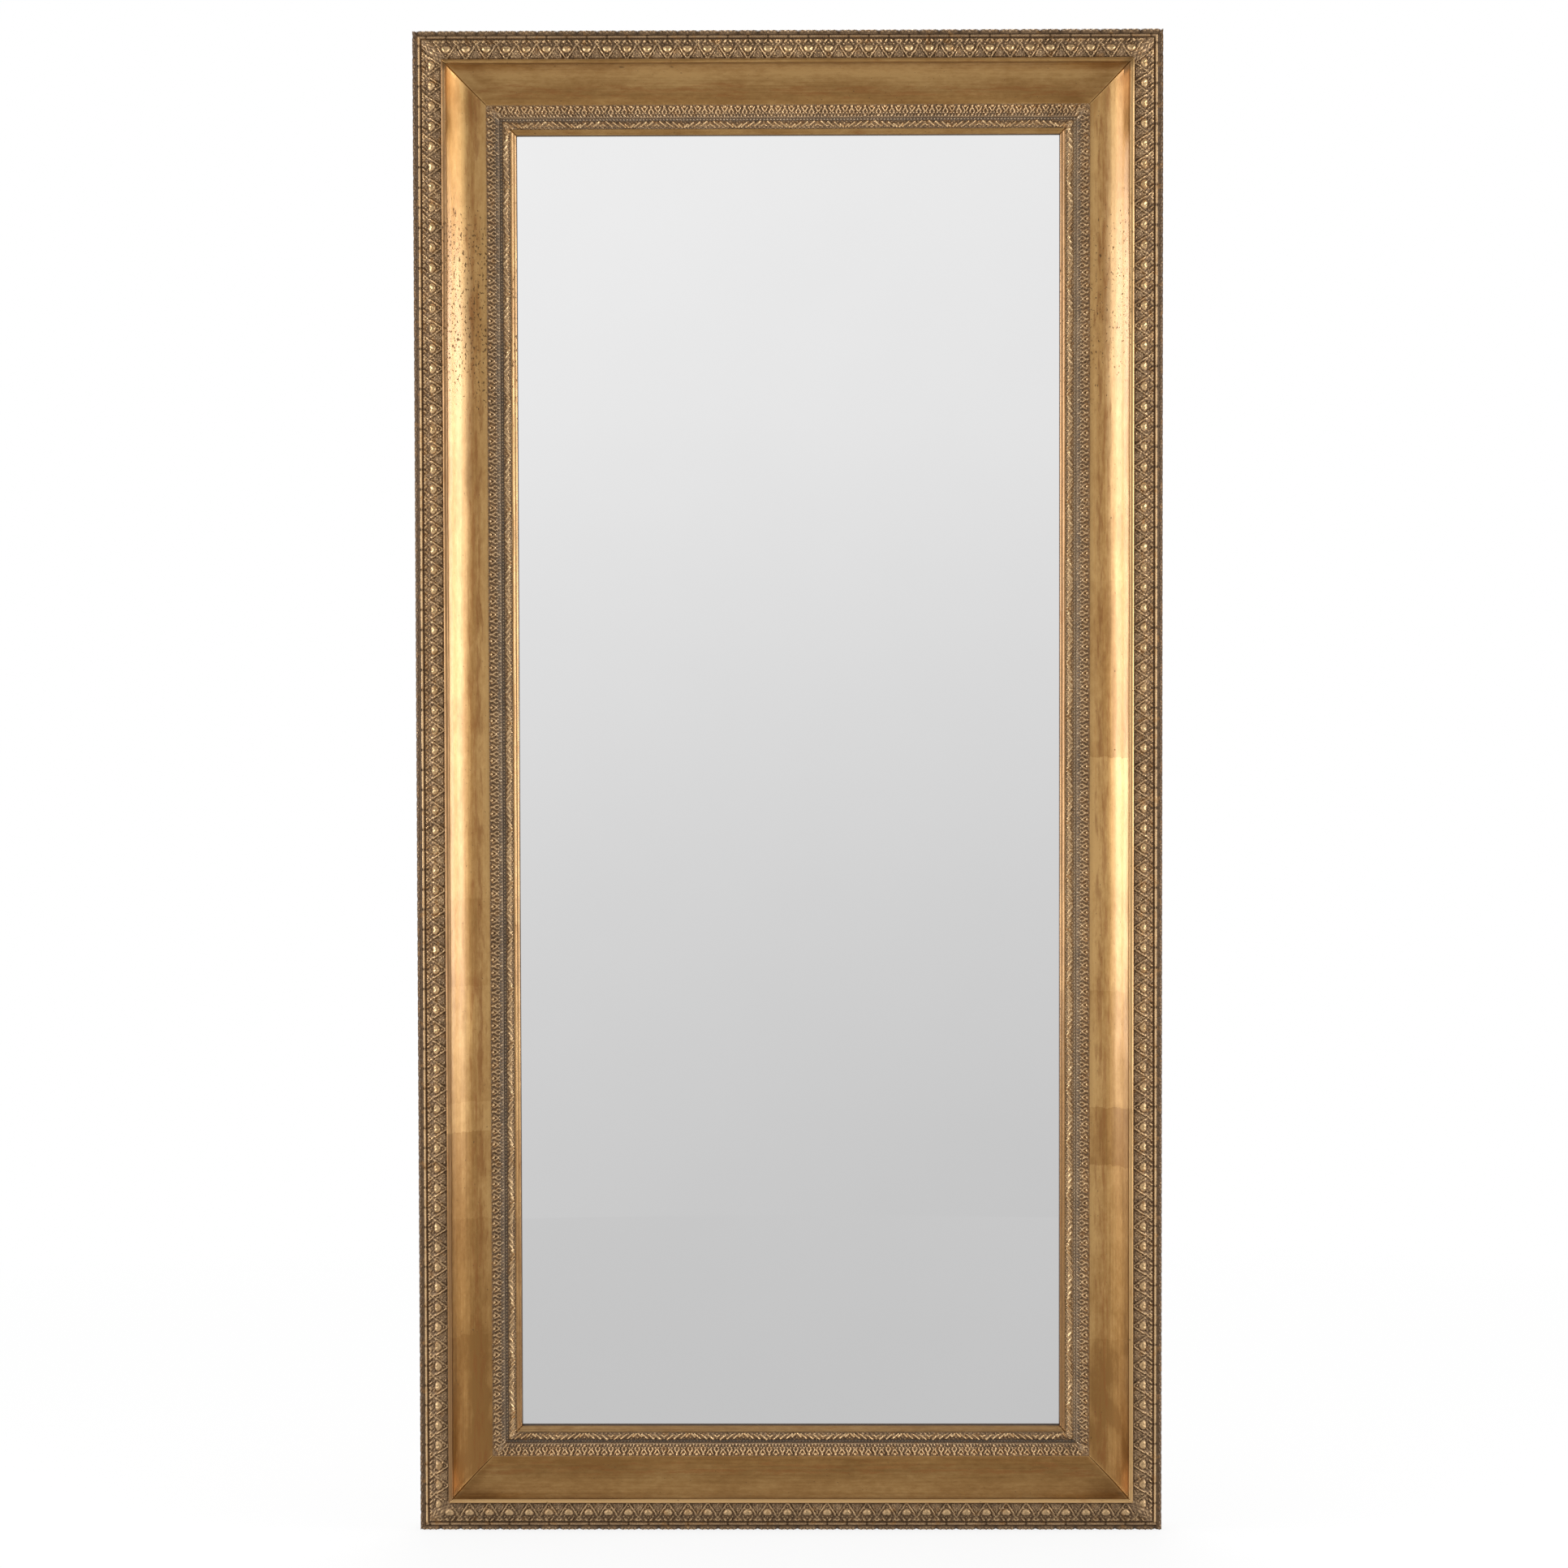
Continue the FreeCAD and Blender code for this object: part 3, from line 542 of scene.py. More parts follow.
# Bead strip: eggs in a zigzag husk with tongues between. Tables named egg are placed from the
# middle of the egg, those named tongue from the middle of the tongue.
beadCarving = {
    "outerHigh": 53.0, "innerHigh": 60.0, "rise": 3.0, "ground": -2.5, "cut": 0.86, "across": 0.85,
    "cornerFade": 11.0, "toned": (-3.5, 3.4), "pitch": 26.63,
    "eggAt": 12.2, "eggWaist": 7.5, "eggTaper": 0.045, "taperEnd": 8, "eggOuter": 4.9, "eggInner": 6.8,
    "eggHigh": 5.6, "eggRound": (1.8, 2.2, 0.9),
    "crease": 1.7, "creaseSpan": (3.5, -2.5), "creaseHalf": 2.0,
    "eggDomes": ((0, 20.8, 1.7, 1.5, 3.2), (3.8, 18.6, 1.5, 1.4, 2.9), (0, 23.6, 1.2, 1.1, 2.4),
                 (8.2, 17.0, 1.3, 1.2, 2.5), (0, 4.8, 1.5, 1.4, 3.2), (6.2, 6.8, 1.5, 1.4, 3.4),
                 (2.6, 6.2, 1.0, 0.9, 2.4)),
    "eggRidges": ((11.0, 10.0, 1.2, 25.0, 1.5, 3.1), (2.4, 1.4, 4.8, 3.4, 1.4, 4.2)),
    "tongueTip": 9.4, "tongueHalf": (0.5, 10.4), "tongueLong": 16.0, "tongueGap": 1.2,
    "tongueEdge": (-0.6, 1.4), "tongueSpan": (9.0, 11.5, 24.8, 26.0), "tongueHigh": (0.6, 0.8),
    "tongueDomes": ((0, 18.6, 1.5, 1.5, 2.9), (-3.4, 23.6, 1.4, 1.2, 2.8), (0, 22.8, 1.2, 1.2, 2.6),
                    (-6.2, 1.8, 1.2, 1.0, 2.6)),
    "tongueRidges": ((0, 11.0, 0, 15.4, 1.0, 2.9), (-4.8, 0.9, 0, 6.0, 1.1, 3.0),
                     (0, 6.0, -4.6, 10.2, 1.1, 2.8), (-2.8, 2.8, -0.9, 1.4, 1.4, 4.0)),
    "tongueVeins": ((-1.2, 12.4, -6.0, 22.4, 0.95, 2.7),), "veinInside": 0.6,
    "netAt": 1.6, "netCount": 5, "netGap": 5.6, "netHigh": 2.6, "netInside": 0.2,
    "bed": 0.6, "bedSpan": (1.0, 3.0, 23.0, 25.5),
}


def carveBead(s, v):
    c = beadCarving
    u = fromMiddle(s, c["pitch"])
    a, m = np.abs(u), c["pitch"] / 2
    # heart-shaped egg: creased on its outer side and drawn in towards the glass
    out = v - c["eggAt"]
    waist = c["eggWaist"] * (1 - c["eggTaper"] * np.clip(out, 0, c["taperEnd"]))
    tall = np.where(out < 0, c["eggOuter"], c["eggInner"])
    roundA, roundV, roundTop = c["eggRound"]
    swell = 1 - (a / waist) ** roundA - (np.abs(out) / tall) ** roundV
    egg = c["eggHigh"] * np.clip(swell, 0, None) ** roundTop
    crease = ease(out, *c["creaseSpan"]) * np.clip(1 - (a / c["creaseHalf"]) ** 2, 0, None)
    egg = egg - c["crease"] * crease * (egg > 0)
    # plain tongue that widens towards the glass, with veins, a net and berries on it
    tip, wider = c["tongueHalf"]
    wedge = tip + wider * (v - c["tongueTip"]) / c["tongueLong"]
    inside = wedge - np.abs(a - m) - c["tongueGap"]
    low, crown = c["tongueHigh"]
    tongue = ease(inside, *c["tongueEdge"]) * hump(v, *c["tongueSpan"])
    tongue = tongue * (low + crown * np.clip(1 - ((a - m) / np.maximum(wedge, tip)) ** 2, 0, None))
    veins = np.where(inside > c["veinInside"], ridges(a, v, c["tongueVeins"], m), 0)
    ground = net(u - m, v - c["netAt"], c["pitch"] / c["netCount"], c["netGap"], c["netHigh"])
    return tops(egg, domes(a, v, c["eggDomes"]), ridges(a, v, c["eggRidges"]), tongue, veins,
                np.where(inside > c["netInside"], ground, 0), domes(a, v, c["tongueDomes"], m),
                ridges(a, v, c["tongueRidges"], m), c["bed"] * hump(v, *c["bedSpan"]))


# Bud strip: buds under pointed roofs, with pearls and a dotted row along the inner edge
budCarving = {
    "outerHigh": 30.0, "innerHigh": 27.0, "rise": 4.5, "ground": -2.1, "cut": 0.74, "across": 0.76,
    "cornerFade": 7.0, "pitch": 17.75,
    # the tone ranges differ by side, making some lengths lighter or darker: painted light and shade
    "toned": {"top": (-5.0, 4.8), "bottom": (-4.6, 4.8), "left": (-4.3, 4.8), "right": (-5.1, 4.8)},
    "grey": {"rail": 0.2, "stile": 0.45}, "greyPlain": 0.25, "greySpan": (8.0, 15.0),
    "budDomes": ((0, 2.8, 2.9, 2.4, 5.2), (2.1, 11.3, 1.8, 1.6, 3.2), (0, 14.4, 1.3, 1.3, 2.8)),
    "betweenDomes": ((0, 2.6, 2.3, 2.1, 4.8), (-2.4, 11.3, 1.9, 1.7, 3.4), (0, 14.0, 2.2, 2.1, 5.0)),
    "quarterDomes": ((0, 13.2, 1.2, 1.1, 2.3),), "roofs": ((3.9, 3.4, 0.6, 9.2, 1.6, 3.3),),
    "posts": ((-0.4, 5.0, -3.0, 9.2, 1.6, 3.2),), "dots": ((0, 15.3, 1.5, 1.25, 3.6),), "dotCount": 4,
    "bed": 0.3, "bedSpan": (0.0, 1.0),
}


def carveBud(s, v):
    c = budCarving
    a, m = np.abs(fromMiddle(s, c["pitch"])), c["pitch"] / 2
    return tops(domes(a, v, c["budDomes"]), domes(a, v, c["betweenDomes"], m),
                domes(a, v, c["quarterDomes"], m / 2),
                ridges(a, v, c["roofs"]), ridges(a, v, c["posts"], m),
                domes(fromMiddle(s, c["pitch"] / c["dotCount"]), v, c["dots"]),
                c["bed"] * ease(v, *c["bedSpan"]))


# Leaf strip: slanted leaves in a wave, mirrored from a pair in the middle of each repeat to a tie,
# beside a sunk channel
leafCarving = {
    "outerHigh": 24.0, "innerHigh": 22.5, "rise": 2.8, "ground": -1.8, "cut": 0.85, "across": 0.8,
    "channelWide": 3.5, "channelHigh": 22.6, "channelCut": 0.7, "cornerFade": 6.0, "pitch": 71.4,
    # the tone ranges and the channel's tone differ by side, making some lengths lighter or darker:
    # painted light and shade
    "toned": {"top": (-4.3, 4.4), "bottom": (-3.7, 4.4), "left": (-5.2, 4.4), "right": (-5.8, 4.4)},
    "channelSideShade": {"top": 0.0, "bottom": -1.8, "left": -1.0, "right": 0.9},
    "grey": 0.5, "greyPlain": 0.06, "greySpan": (4.2, 2.4),
    "leaves": 8, "bladeHigh": {"top": 4.1, "bottom": 4.0, "left": 2.8, "right": 3.0},
    "waveAt": 8.3, "wave": 0.9, "stemHigh": 0.9, "stemHalf": 4.0, "stemRound": 0.7,
    "bladeShift": 1.2, "bladeStart": (-4.2, 2.7), "bladeEnd": (3.0, -2.7), "bladeHalf": 1.7,
    "berryAt": (2.6, 2.8), "berry": (1.5, 1.3, 2.6), "pairs": ((1.9, 11.6, 5.6, 8.2, 2.1, 4.1),),
    "pairDomes": ((0, 7.2, 1.9, 1.7, 3.0), (0, 12.6, 1.2, 1.0, 2.4)), "ties": ((0, 5.6, 2.1, 1.8, 3.0),),
    "netAt": 1.0, "netCount": 12, "netGap": 6.0, "netHigh": 1.4, "netLift": 0.2,
}


def carveLeaf(s, v, bladeHigh):
    c, pitch = leafCarving, leafCarving["pitch"]
    u = fromMiddle(s, pitch)
    a = np.abs(u)
    wave = c["waveAt"] + c["wave"] * np.cos(2 * np.pi * u / pitch)
    stem = c["stemHigh"] * np.clip(1 - ((v - wave) / c["stemHalf"]) ** 2, 0, None) ** c["stemRound"]
    (startU, startV), (endU, endV), (berryU, berryV) = c["bladeStart"], c["bladeEnd"], c["berryAt"]
    blades = []
    for step in range(1, c["leaves"] // 2 + 1):
        here = step * (pitch / c["leaves"]) + c["bladeShift"]
        level = c["waveAt"] + c["wave"] * math.cos(2 * math.pi * here / pitch)
        blades.append(ridge(a, v, here + startU, level + startV, here + endU, level + endV,
                            c["bladeHalf"], bladeHigh))
        blades.append(dome(a, v, here + berryU, level + berryV, *c["berry"]))
    ground = c["netLift"] + net(u, v - c["netAt"], pitch / c["netCount"], c["netGap"], c["netHigh"])
    return tops(stem, *blades, ridges(a, v, c["pairs"]), domes(a, v, c["pairDomes"]),
                domes(a, v, c["ties"], pitch / 2), ground)


# Rough leafage where two strips meet at a mitre: e is the distance from the mitre
cornerCarving = {
    "level": 1.5, "lobes": 0.8, "waveAcross": (0.95, 0.35), "waveAlong": (0.85, -0.3),
    "berries": ((4.0, 6.0, 2.2, 2.0, 1.4), (3.4, 14.0, 2.4, 2.2, 1.5)),
}


def cornerLeaf(e, v):
    c = cornerCarving
    (acrossV, acrossE), (alongE, alongV) = c["waveAcross"], c["waveAlong"]
    high = c["level"] + c["lobes"] * np.cos(v * acrossV + acrossE * e) * np.cos(e * alongE + alongV * v)
    for berry in c["berries"]:
        high = high + dome(e, v, *berry)
    return high


handSeed = 41
roughHand = np.random.default_rng(handSeed)


def softNoise(shape, alongCells, acrossCells):
    coarse = roughHand.standard_normal((acrossCells + 3, alongCells + 3))
    ys = np.linspace(0.5, acrossCells + 1.5, shape[0])
    xs = np.linspace(0.5, alongCells + 1.5, shape[1])
    yi, xi = ys.astype(int), xs.astype(int)
    fy, fx = (ys - yi)[:, None], (xs - xi)[None, :]
    fy, fx = fy * fy * (3 - 2 * fy), fx * fx * (3 - 2 * fx)
    a, b = coarse[yi][:, xi], coarse[yi][:, xi + 1]
    c, d = coarse[yi + 1][:, xi], coarse[yi + 1][:, xi + 1]
    return (a * (1 - fx) + b * fx) * (1 - fy) + (c * (1 - fx) + d * fx) * fy


# Wood lengths: lip, hollow and sight edge gilded, sides washed, back and seats bare
woodLength = {
    "sideInset": 2.0, "edgeSeat": 40.0, "beadSeat": 49.0, "budSeat": 22.0, "leafSeat": 19.0,
    "lipFoot": 60.0, "lipSide": 61.4, "lipRound": 2.6, "lipRise": 0.7, "lip": 64.0, "lipCut": 1.0,
    "lipBevel": 1.0, "bevelRise": 0.3, "roundCut": 0.7, "bevelCut": 0.6,
    "hollowWide": 51.5, "hollowTop": 62.0, "hollowFoot": 29.0, "hollow": -7.5, "hollowCut": 1.7,
    "sight": 24.0, "sightEdge": 18.0, "sightRise": 0.45,
    "sightCut": 0.6, "sightSideCut": 2, "innerCut": 3,
    "sightSteps": ((3.3, 21.6, 0.35), (4.9, 21.3, -0.25)),
    "rabbet": 11.0, "rabbetLap": 10.0, "sideCut": 8, "backCut": 11, "cut": 4.0, "crease": 48,
    "mitreColumns": (0.0, 0.5, 1.1, 2.2, 4.0), "shownFrom": 0.5, "slack": 0.1,
    # hand-laid gesso is a little uneven, and the mitre is a fine crack with a raised edge
    "wave": 0.14, "waveLong": 55, "waveRows": 10, "planeMarks": 0.045, "planeWide": 2.6,
    "crack": 0.2, "crackSpan": (0.5, 0.0), "mitreEdge": 0.35, "mitreEdgeSpan": (0.3, 1.1, 1.4, 3.4),
}
gold, wash, bare = 0, 1, 2

# How the gilding has aged, with painted shade in its creases, painted light and shade on the hollow,
# lip and sight edge of each length, and painted highlights along the mitres and on the upper stiles.
# Spans named Down are shares of the way down the hollow. Those named Mitre
# are millimetres from a mitre, those named Up and Along are millimetres from the middle of a length.
goldAge = {
    "creaseShade": 0.5, "footDown": (0.965, 1.0), "topDown": (0.05, 0.0),
    "dashLong": 8, "dashRows": 2, "dashSpan": (0.6, 1.2), "dashDown": (0.05, 0.07, 0.10, 0.12),
    "dash": 0.2, "darkDash": 0.6, "darkDashAlong": (-400, -350, -110, -60),
    "lipShadeAndGrimeWide": 2.4, "lipShadeAndGrimeHigh": (63.8, 61.0), "sightStepShade": 0.6, "sightStepShadeWide": 0.7,
    "mitreGrime": 0.42, "grimeMitre": (0.7, 0.2), "innerWallShade": 0.95,
    "cornerDarkening": (0.25, 0.35), "cornerMitre": (18.0, 3.0), "cornerWide": 7,
    "smudgeLong": 30, "smudgeRows": 8, "smudgeSpan": (-0.6, 1.0),
    "rubDown": (0.35, 0.6, 0.75, 0.95), "rubPlain": 0.4,
    "specks": 0.12, "specksHigh": {"left": 1.0, "right": 0.6}, "specksUp": (480, 620, 780, 870),
    "shadingDown": (0.06, 0.25, 0.42, 0.60, 0.77, 0.95),
    "sideShading": {"top": (0.07, 0.13, 0.05, -0.01, -0.06, -0.06),
              "bottom": (0.0, 0.0, -0.02, -0.04, -0.09, -0.17),
              "left": (0.0, 0.0, 0.0, -0.06, 0.0, 0.11), "right": (0.0, 0.0, 0.0, 0.0, 0.04, 0.12)},
    "lipShading": {"top": 0.0, "bottom": 0.22, "left": -0.15, "right": 0.27},
    "sightShading": {"top": 0.03, "bottom": 0.0, "left": -0.02, "right": -0.22},
    "smudgeFade": 0.16, "smudgeUp": (-640, -920), "smudgeMitre": (70, 12), "smudgeAtMitre": 0.9,
    "mitreShine": 0.30, "shineMitre": (0.3, 0.8, 1.4, 2.6),
    "paintedHighlight": 0.14, "paintedHighlightUp": (100, 600), "paintedHighlightDown": (0.25, 0.38, 0.46, 0.62),
    "lacquer": 0.15, "lacquerFlat": 0.45, "lacquerHollow": 0.5, "lacquerMore": 0.35, "moreUp": (300, 800),
    "lacquerDown": (0.50, 0.30), "lacquerLower": 0.20, "lowerUp": (-100, 700),
    "lacquerFootUp": (-760, -380),
    "lacquerTopUp": {"left": (920, 600), "right": (1150, 600)},
}


def woodStations():
    w = woodLength
    (bead, lip), bud, (leaf, sight) = beadBand, budBand[0], leafBand
    cove, rabbet = bud - w["hollowWide"], sightLine - w["rabbetLap"]
    steps = [((sight + wide, high), rise, w["sightCut"], gold) for wide, high, rise in w["sightSteps"]]
    return [
        ((w["sideInset"], w["edgeSeat"]), 0, w["sideCut"], wash),
        ((bead, w["edgeSeat"]), 0, 0, bare),
        ((bead, w["beadSeat"]), 0, 0, bare),
        ((lip, w["beadSeat"]), 0, 0, bare),
        ((lip, w["lipFoot"]), 0, 0, bare),
        ((lip, w["lipSide"]), 0, 0, gold),
        ((lip + w["lipRound"], w["lip"]), w["lipRise"], w["roundCut"], gold),
        ((cove - w["lipBevel"], w["lip"]), 0, w["lipCut"], gold),
        ((cove, w["hollowTop"]), w["bevelRise"], w["bevelCut"], gold),
        ((bud, w["hollowFoot"]), w["hollow"], w["hollowCut"], gold),
        ((bud, w["budSeat"]), 0, 0, bare),
        ((leaf, w["budSeat"]), 0, 0, bare),
        ((leaf, w["leafSeat"]), 0, 0, bare),
        ((sight, w["leafSeat"]), 0, 0, bare),
        ((sight, w["sight"]), 0, w["sightSideCut"], gold),
        *steps,
        ((sightLine, w["sightEdge"]), w["sightRise"], w["sightCut"], gold),
        ((sightLine, w["rabbet"]), 0, w["innerCut"], gold),
        ((rabbet, w["rabbet"]), 0, 0, bare),
        ((rabbet, 0), 0, 0, bare),
        ((w["sideInset"], 0), 0, w["backCut"], bare),
    ]


def makeWood(side):
    w, g, length = woodLength, goldAge, sides[side]["length"]
    spots, finishes = walked((w["sideInset"], 0), woodStations())
    share, inset = columnsFor(length, w["cut"], np.array(w["mitreColumns"]))
    shape = (len(spots), len(share))
    inward, forward = spots[:, :1], spots[:, 1:]
    lip, bud, sight = beadBand[1], budBand[0], leafBand[1]
    cove = bud - w["hollowWide"]
    shown = (inward > lip + w["shownFrom"]) & (inward < sightLine - w["shownFrom"])
    shown = shown & (finishes == gold)[:, None]
    lift = w["wave"] * softNoise(shape, int(length / w["waveLong"]), w["waveRows"]) * shown
    lift += w["planeMarks"] * softNoise((shape[0], 1), 1, int(np.ptp(inward) / w["planeWide"])) * shown
    mitre = w["mitreEdge"] * hump(inset, *w["mitreEdgeSpan"]) - w["crack"] * ease(inset, *w["crackSpan"])
    lift += np.where(np.abs(share) == 1, mitre, 0) * shown
    # where each spot is: from the mitre, down the hollow, along the length and up the stile
    reach = length / 2 - inward - np.abs(share) * (length / 2 - inward - inset)
    down = (inward - cove) / (bud - cove)
    inCove = (inward > cove) & (inward < bud)
    s = (share * (length / 2 - inset))[None, :]
    up = upStile(side, s)
    dashes = ease(softNoise(shape, int(length / g["dashLong"]), g["dashRows"]), *g["dashSpan"])
    dashed = g["darkDash"] * hump(s, *g["darkDashAlong"]) if side == "top" else g["dash"]
    smudge = ease(softNoise(shape, int(length / g["smudgeLong"]), g["smudgeRows"]), *g["smudgeSpan"])
    # darker in smudges near the mitres, on the lip and the outer part of the hollow
    corner = ease(reach, *g["cornerMitre"]) * ((inward > lip) & (inward < cove + g["cornerWide"]))
    faint, strong = g["cornerDarkening"]
    # painted shade on the wall where the sight edge rises from the leaf strip
    inStep = (inward > sight - w["slack"]) * ease(inward, sight + g["sightStepShadeWide"], sight)
    # painted shade on the inner wall of the sight edge beside the glass
    innerFace = (inward > sightLine - 2 * w["slack"]) & (forward < w["sightEdge"] + w["slack"])
    # the dark mix on the gilding: dirt, dashes, the dark mitre joint and darker corners, with painted
    # shade in the creases
    grimeAndShade = tops(
        # painted shade in the creases at the top and the foot of the hollow
        inCove * g["creaseShade"] * (ease(down, *g["footDown"]) + ease(down, *g["topDown"])),
        inCove * dashed * dashes * hump(down, *g["dashDown"]),
        # darker down the lip's outer wall towards the bead: painted shade in the crevice, with dirt
        (inward < lip + g["lipShadeAndGrimeWide"]) * ease(forward, *g["lipShadeAndGrimeHigh"]),
        g["sightStepShade"] * inStep, g["innerWallShade"] * innerFace,
        g["mitreGrime"] * ease(reach, *g["grimeMitre"]),
        corner * (faint + strong * smudge))
    # painted light and shade: each length's hollow, lip and sight edge made lighter or darker by side,
    # with smudges
    toneShadeAndHighlight = np.where(inCove, np.interp(down, g["shadingDown"], g["sideShading"][side]),
                    np.where(down < 0, g["lipShading"][side], g["sightShading"][side]))
    smudged = np.maximum(ease(up, *g["smudgeUp"]), g["smudgeAtMitre"] * ease(reach, *g["smudgeMitre"]))
    toneShadeAndHighlight = toneShadeAndHighlight - g["smudgeFade"] * smudge * smudged * inCove
    # painted highlight on the hollow along each mitre
    toneShadeAndHighlight = toneShadeAndHighlight + g["mitreShine"] * hump(reach, *g["shineMitre"]) * inCove
    # painted highlight: a paler band down the middle of the hollow on the upper stiles
    toneShadeAndHighlight = toneShadeAndHighlight + g["paintedHighlight"] * ease(up, *g["paintedHighlightUp"]) * hump(down, *g["paintedHighlightDown"]) * inCove
    lacquer = g["lacquer"] + g["lacquerFlat"] * (1 - inCove) * (side != "top")
    if lengthKind(side) == "stile":
        lower = g["lacquerLower"] * ease(up, *g["lowerUp"])
        low, high = g["lacquerDown"]
        stile = ease(up, *g["lacquerFootUp"]) * ease(up, *g["lacquerTopUp"][side]) * inCove
        stile = stile * ease(down, low + lower, high + lower)
        lacquer = lacquer + stile * (g["lacquerHollow"] + g["lacquerMore"] * ease(up, *g["moreUp"]))
    facts = {
        "grimeAndShade": grimeAndShade, "toneShadeAndHighlight": toneShadeAndHighlight, "lacquer": lacquer,
        "rub": np.where(inCove, hump(down, *g["rubDown"]), g["rubPlain"]),
        "specks": g["specks"] + g["specksHigh"].get(side, 0.0) * hump(up, *g["specksUp"]),
    }
    piece = sweepLength(sides[side]["wood"] + "_gilt", side, spots, share, inset, lift, finishes,
                        [goldMat, sideMat, woodMat], facts)
    return dressed(piece, sides[side]["wood"], w["crease"])


for sideName in sides:
    makeWood(sideName)
print("wood lengths swept")


# Ornament strips: hand roughness, how the carving dies at the rims, and the dotted row of the channel
stripCarving = {
    "mitreColumns": (0.0, 0.9), "crease": 62, "handRough": 0.30, "handCell": 2.2, "cornerShare": 0.45,
    "rim": 0.8, "rimTone": 0.3, "rowGap": 4.44, "rowRound": 0.6, "rowAt": 1.75, "rowHalf": 1.7,
    "rowHigh": 1.2, "rowTone": 4.4, "rowFloor": -0.4,
}
plainRun, carvedRun, channelRun = 0, 1, 2


# how much painted shade darkens and dulls the bead: all along the bottom, and towards the feet of the
# stiles
def beadBottomShade(side, s):
    if side == "bottom":
        return castOrnament["shadeOnBottom"]
    return castOrnament["shadeOnFeet"] * ease(-upStile(side, s), *castOrnament["feet"])


def stripPiece(kind, side, piece, band, stations, carve, toned, patina=None):
    spots, kinds = walked((band[0], woodLength[kind + "Seat"]), stations)
    half = sides[side]["length"] / 2
    share, inset = columnsFor(2 * half, piece["cut"], np.array(stripCarving["mitreColumns"]))
    s = share[None, :] * (half - spots[:, :1] - inset[None, :])
    lift, depth = carve(s, half - spots[:, :1] - np.abs(s), spots, kinds)
    facts = {
        "relief": np.clip((depth - toned[0]) / (toned[1] - toned[0]), 0, 1),
        "patina": patina(spots[:, :1] - band[0]) if patina else 0.0,
        "dustAndShade": beadBottomShade(side, s) if kind == "bead" else 0.0,
    }
    swept = sweepLength(f"{kind}_ornament_{side}", side, spots, share, inset, lift,
                        np.zeros(len(spots), int), [ornamentMat], facts)
    return dressed(swept, f"{kind}_strip_{side}", stripCarving["crease"])


# Edge strip: scalloped roll with berries, nicked between scallops, and a small bar beside it
edgeCarving = {
    "sideHigh": 46.0, "sideCut": 1.5, "rollWide": 7.0, "rollHigh": 52.0, "rollRise": 1.8, "across": 1.0,
    "barHigh": 50.5, "barRise": 2.0, "barCut": 0.75, "ledge": 1.5, "cut": 1.1, "pitch": 26.63,
    # painted light and shade: the bar's crest is lighter on the stiles and darker on the rails
    "rail": {"barPaintedLight": 0.8, "toned": (-1.6, 2.5)}, "stile": {"barPaintedLight": 3.0, "toned": (-0.9, 3.5)},
    "bulge": 0.7, "bulgeRound": 4, "notch": 0.9, "notchHalf": 1.6, "rollSpan": (-1.5, 2.0),
    "berries": ((4.2, 4.2, 1.8, 1.8, 1.7), (0, 6.2, 1.9, 1.7, 1.3), (8.6, 5.6, 2.2, 1.6, 1.3),
                (0, 2.2, 1.6, 1.5, 1.2), (7.8, 2.0, 1.6, 1.4, 1.2)),
    "notchBerries": ((-1.0, 3.4, 1.3, 1.8, 1.3),), "rollDrop": 1.3, "rollMost": 0.55,
    "nick": 1.9, "nickFrom": 2.3, "nickFull": 0.2, "nickRise": 3.0, "nickIn": (6.0, 1.0),
    "barNick": 1.0, "barNickHalf": (1.9, 0.8), "barAt": 9.25, "barHalf": 2.6,
    "rollTone": -0.1, "barTone": -0.6, "sideTone": -0.7, "plainTone": -1.2,
}
sideRun, rollRun, barRun = 1, 2, 3


def carveRoll(a, v):
    c, half = edgeCarving, edgeCarving["pitch"] / 2
    bulge = c["bulge"] * np.clip(1 - (a / half) ** c["bulgeRound"], 0, None)
    notch = c["notch"] * ease(a, half - c["notchHalf"], half)
    berries = tops(domes(a, v, c["berries"]), domes(a, v, c["notchBerries"], half))
    return (bulge - notch) * ease(v, *c["rollSpan"]) + berries - c["rollDrop"]


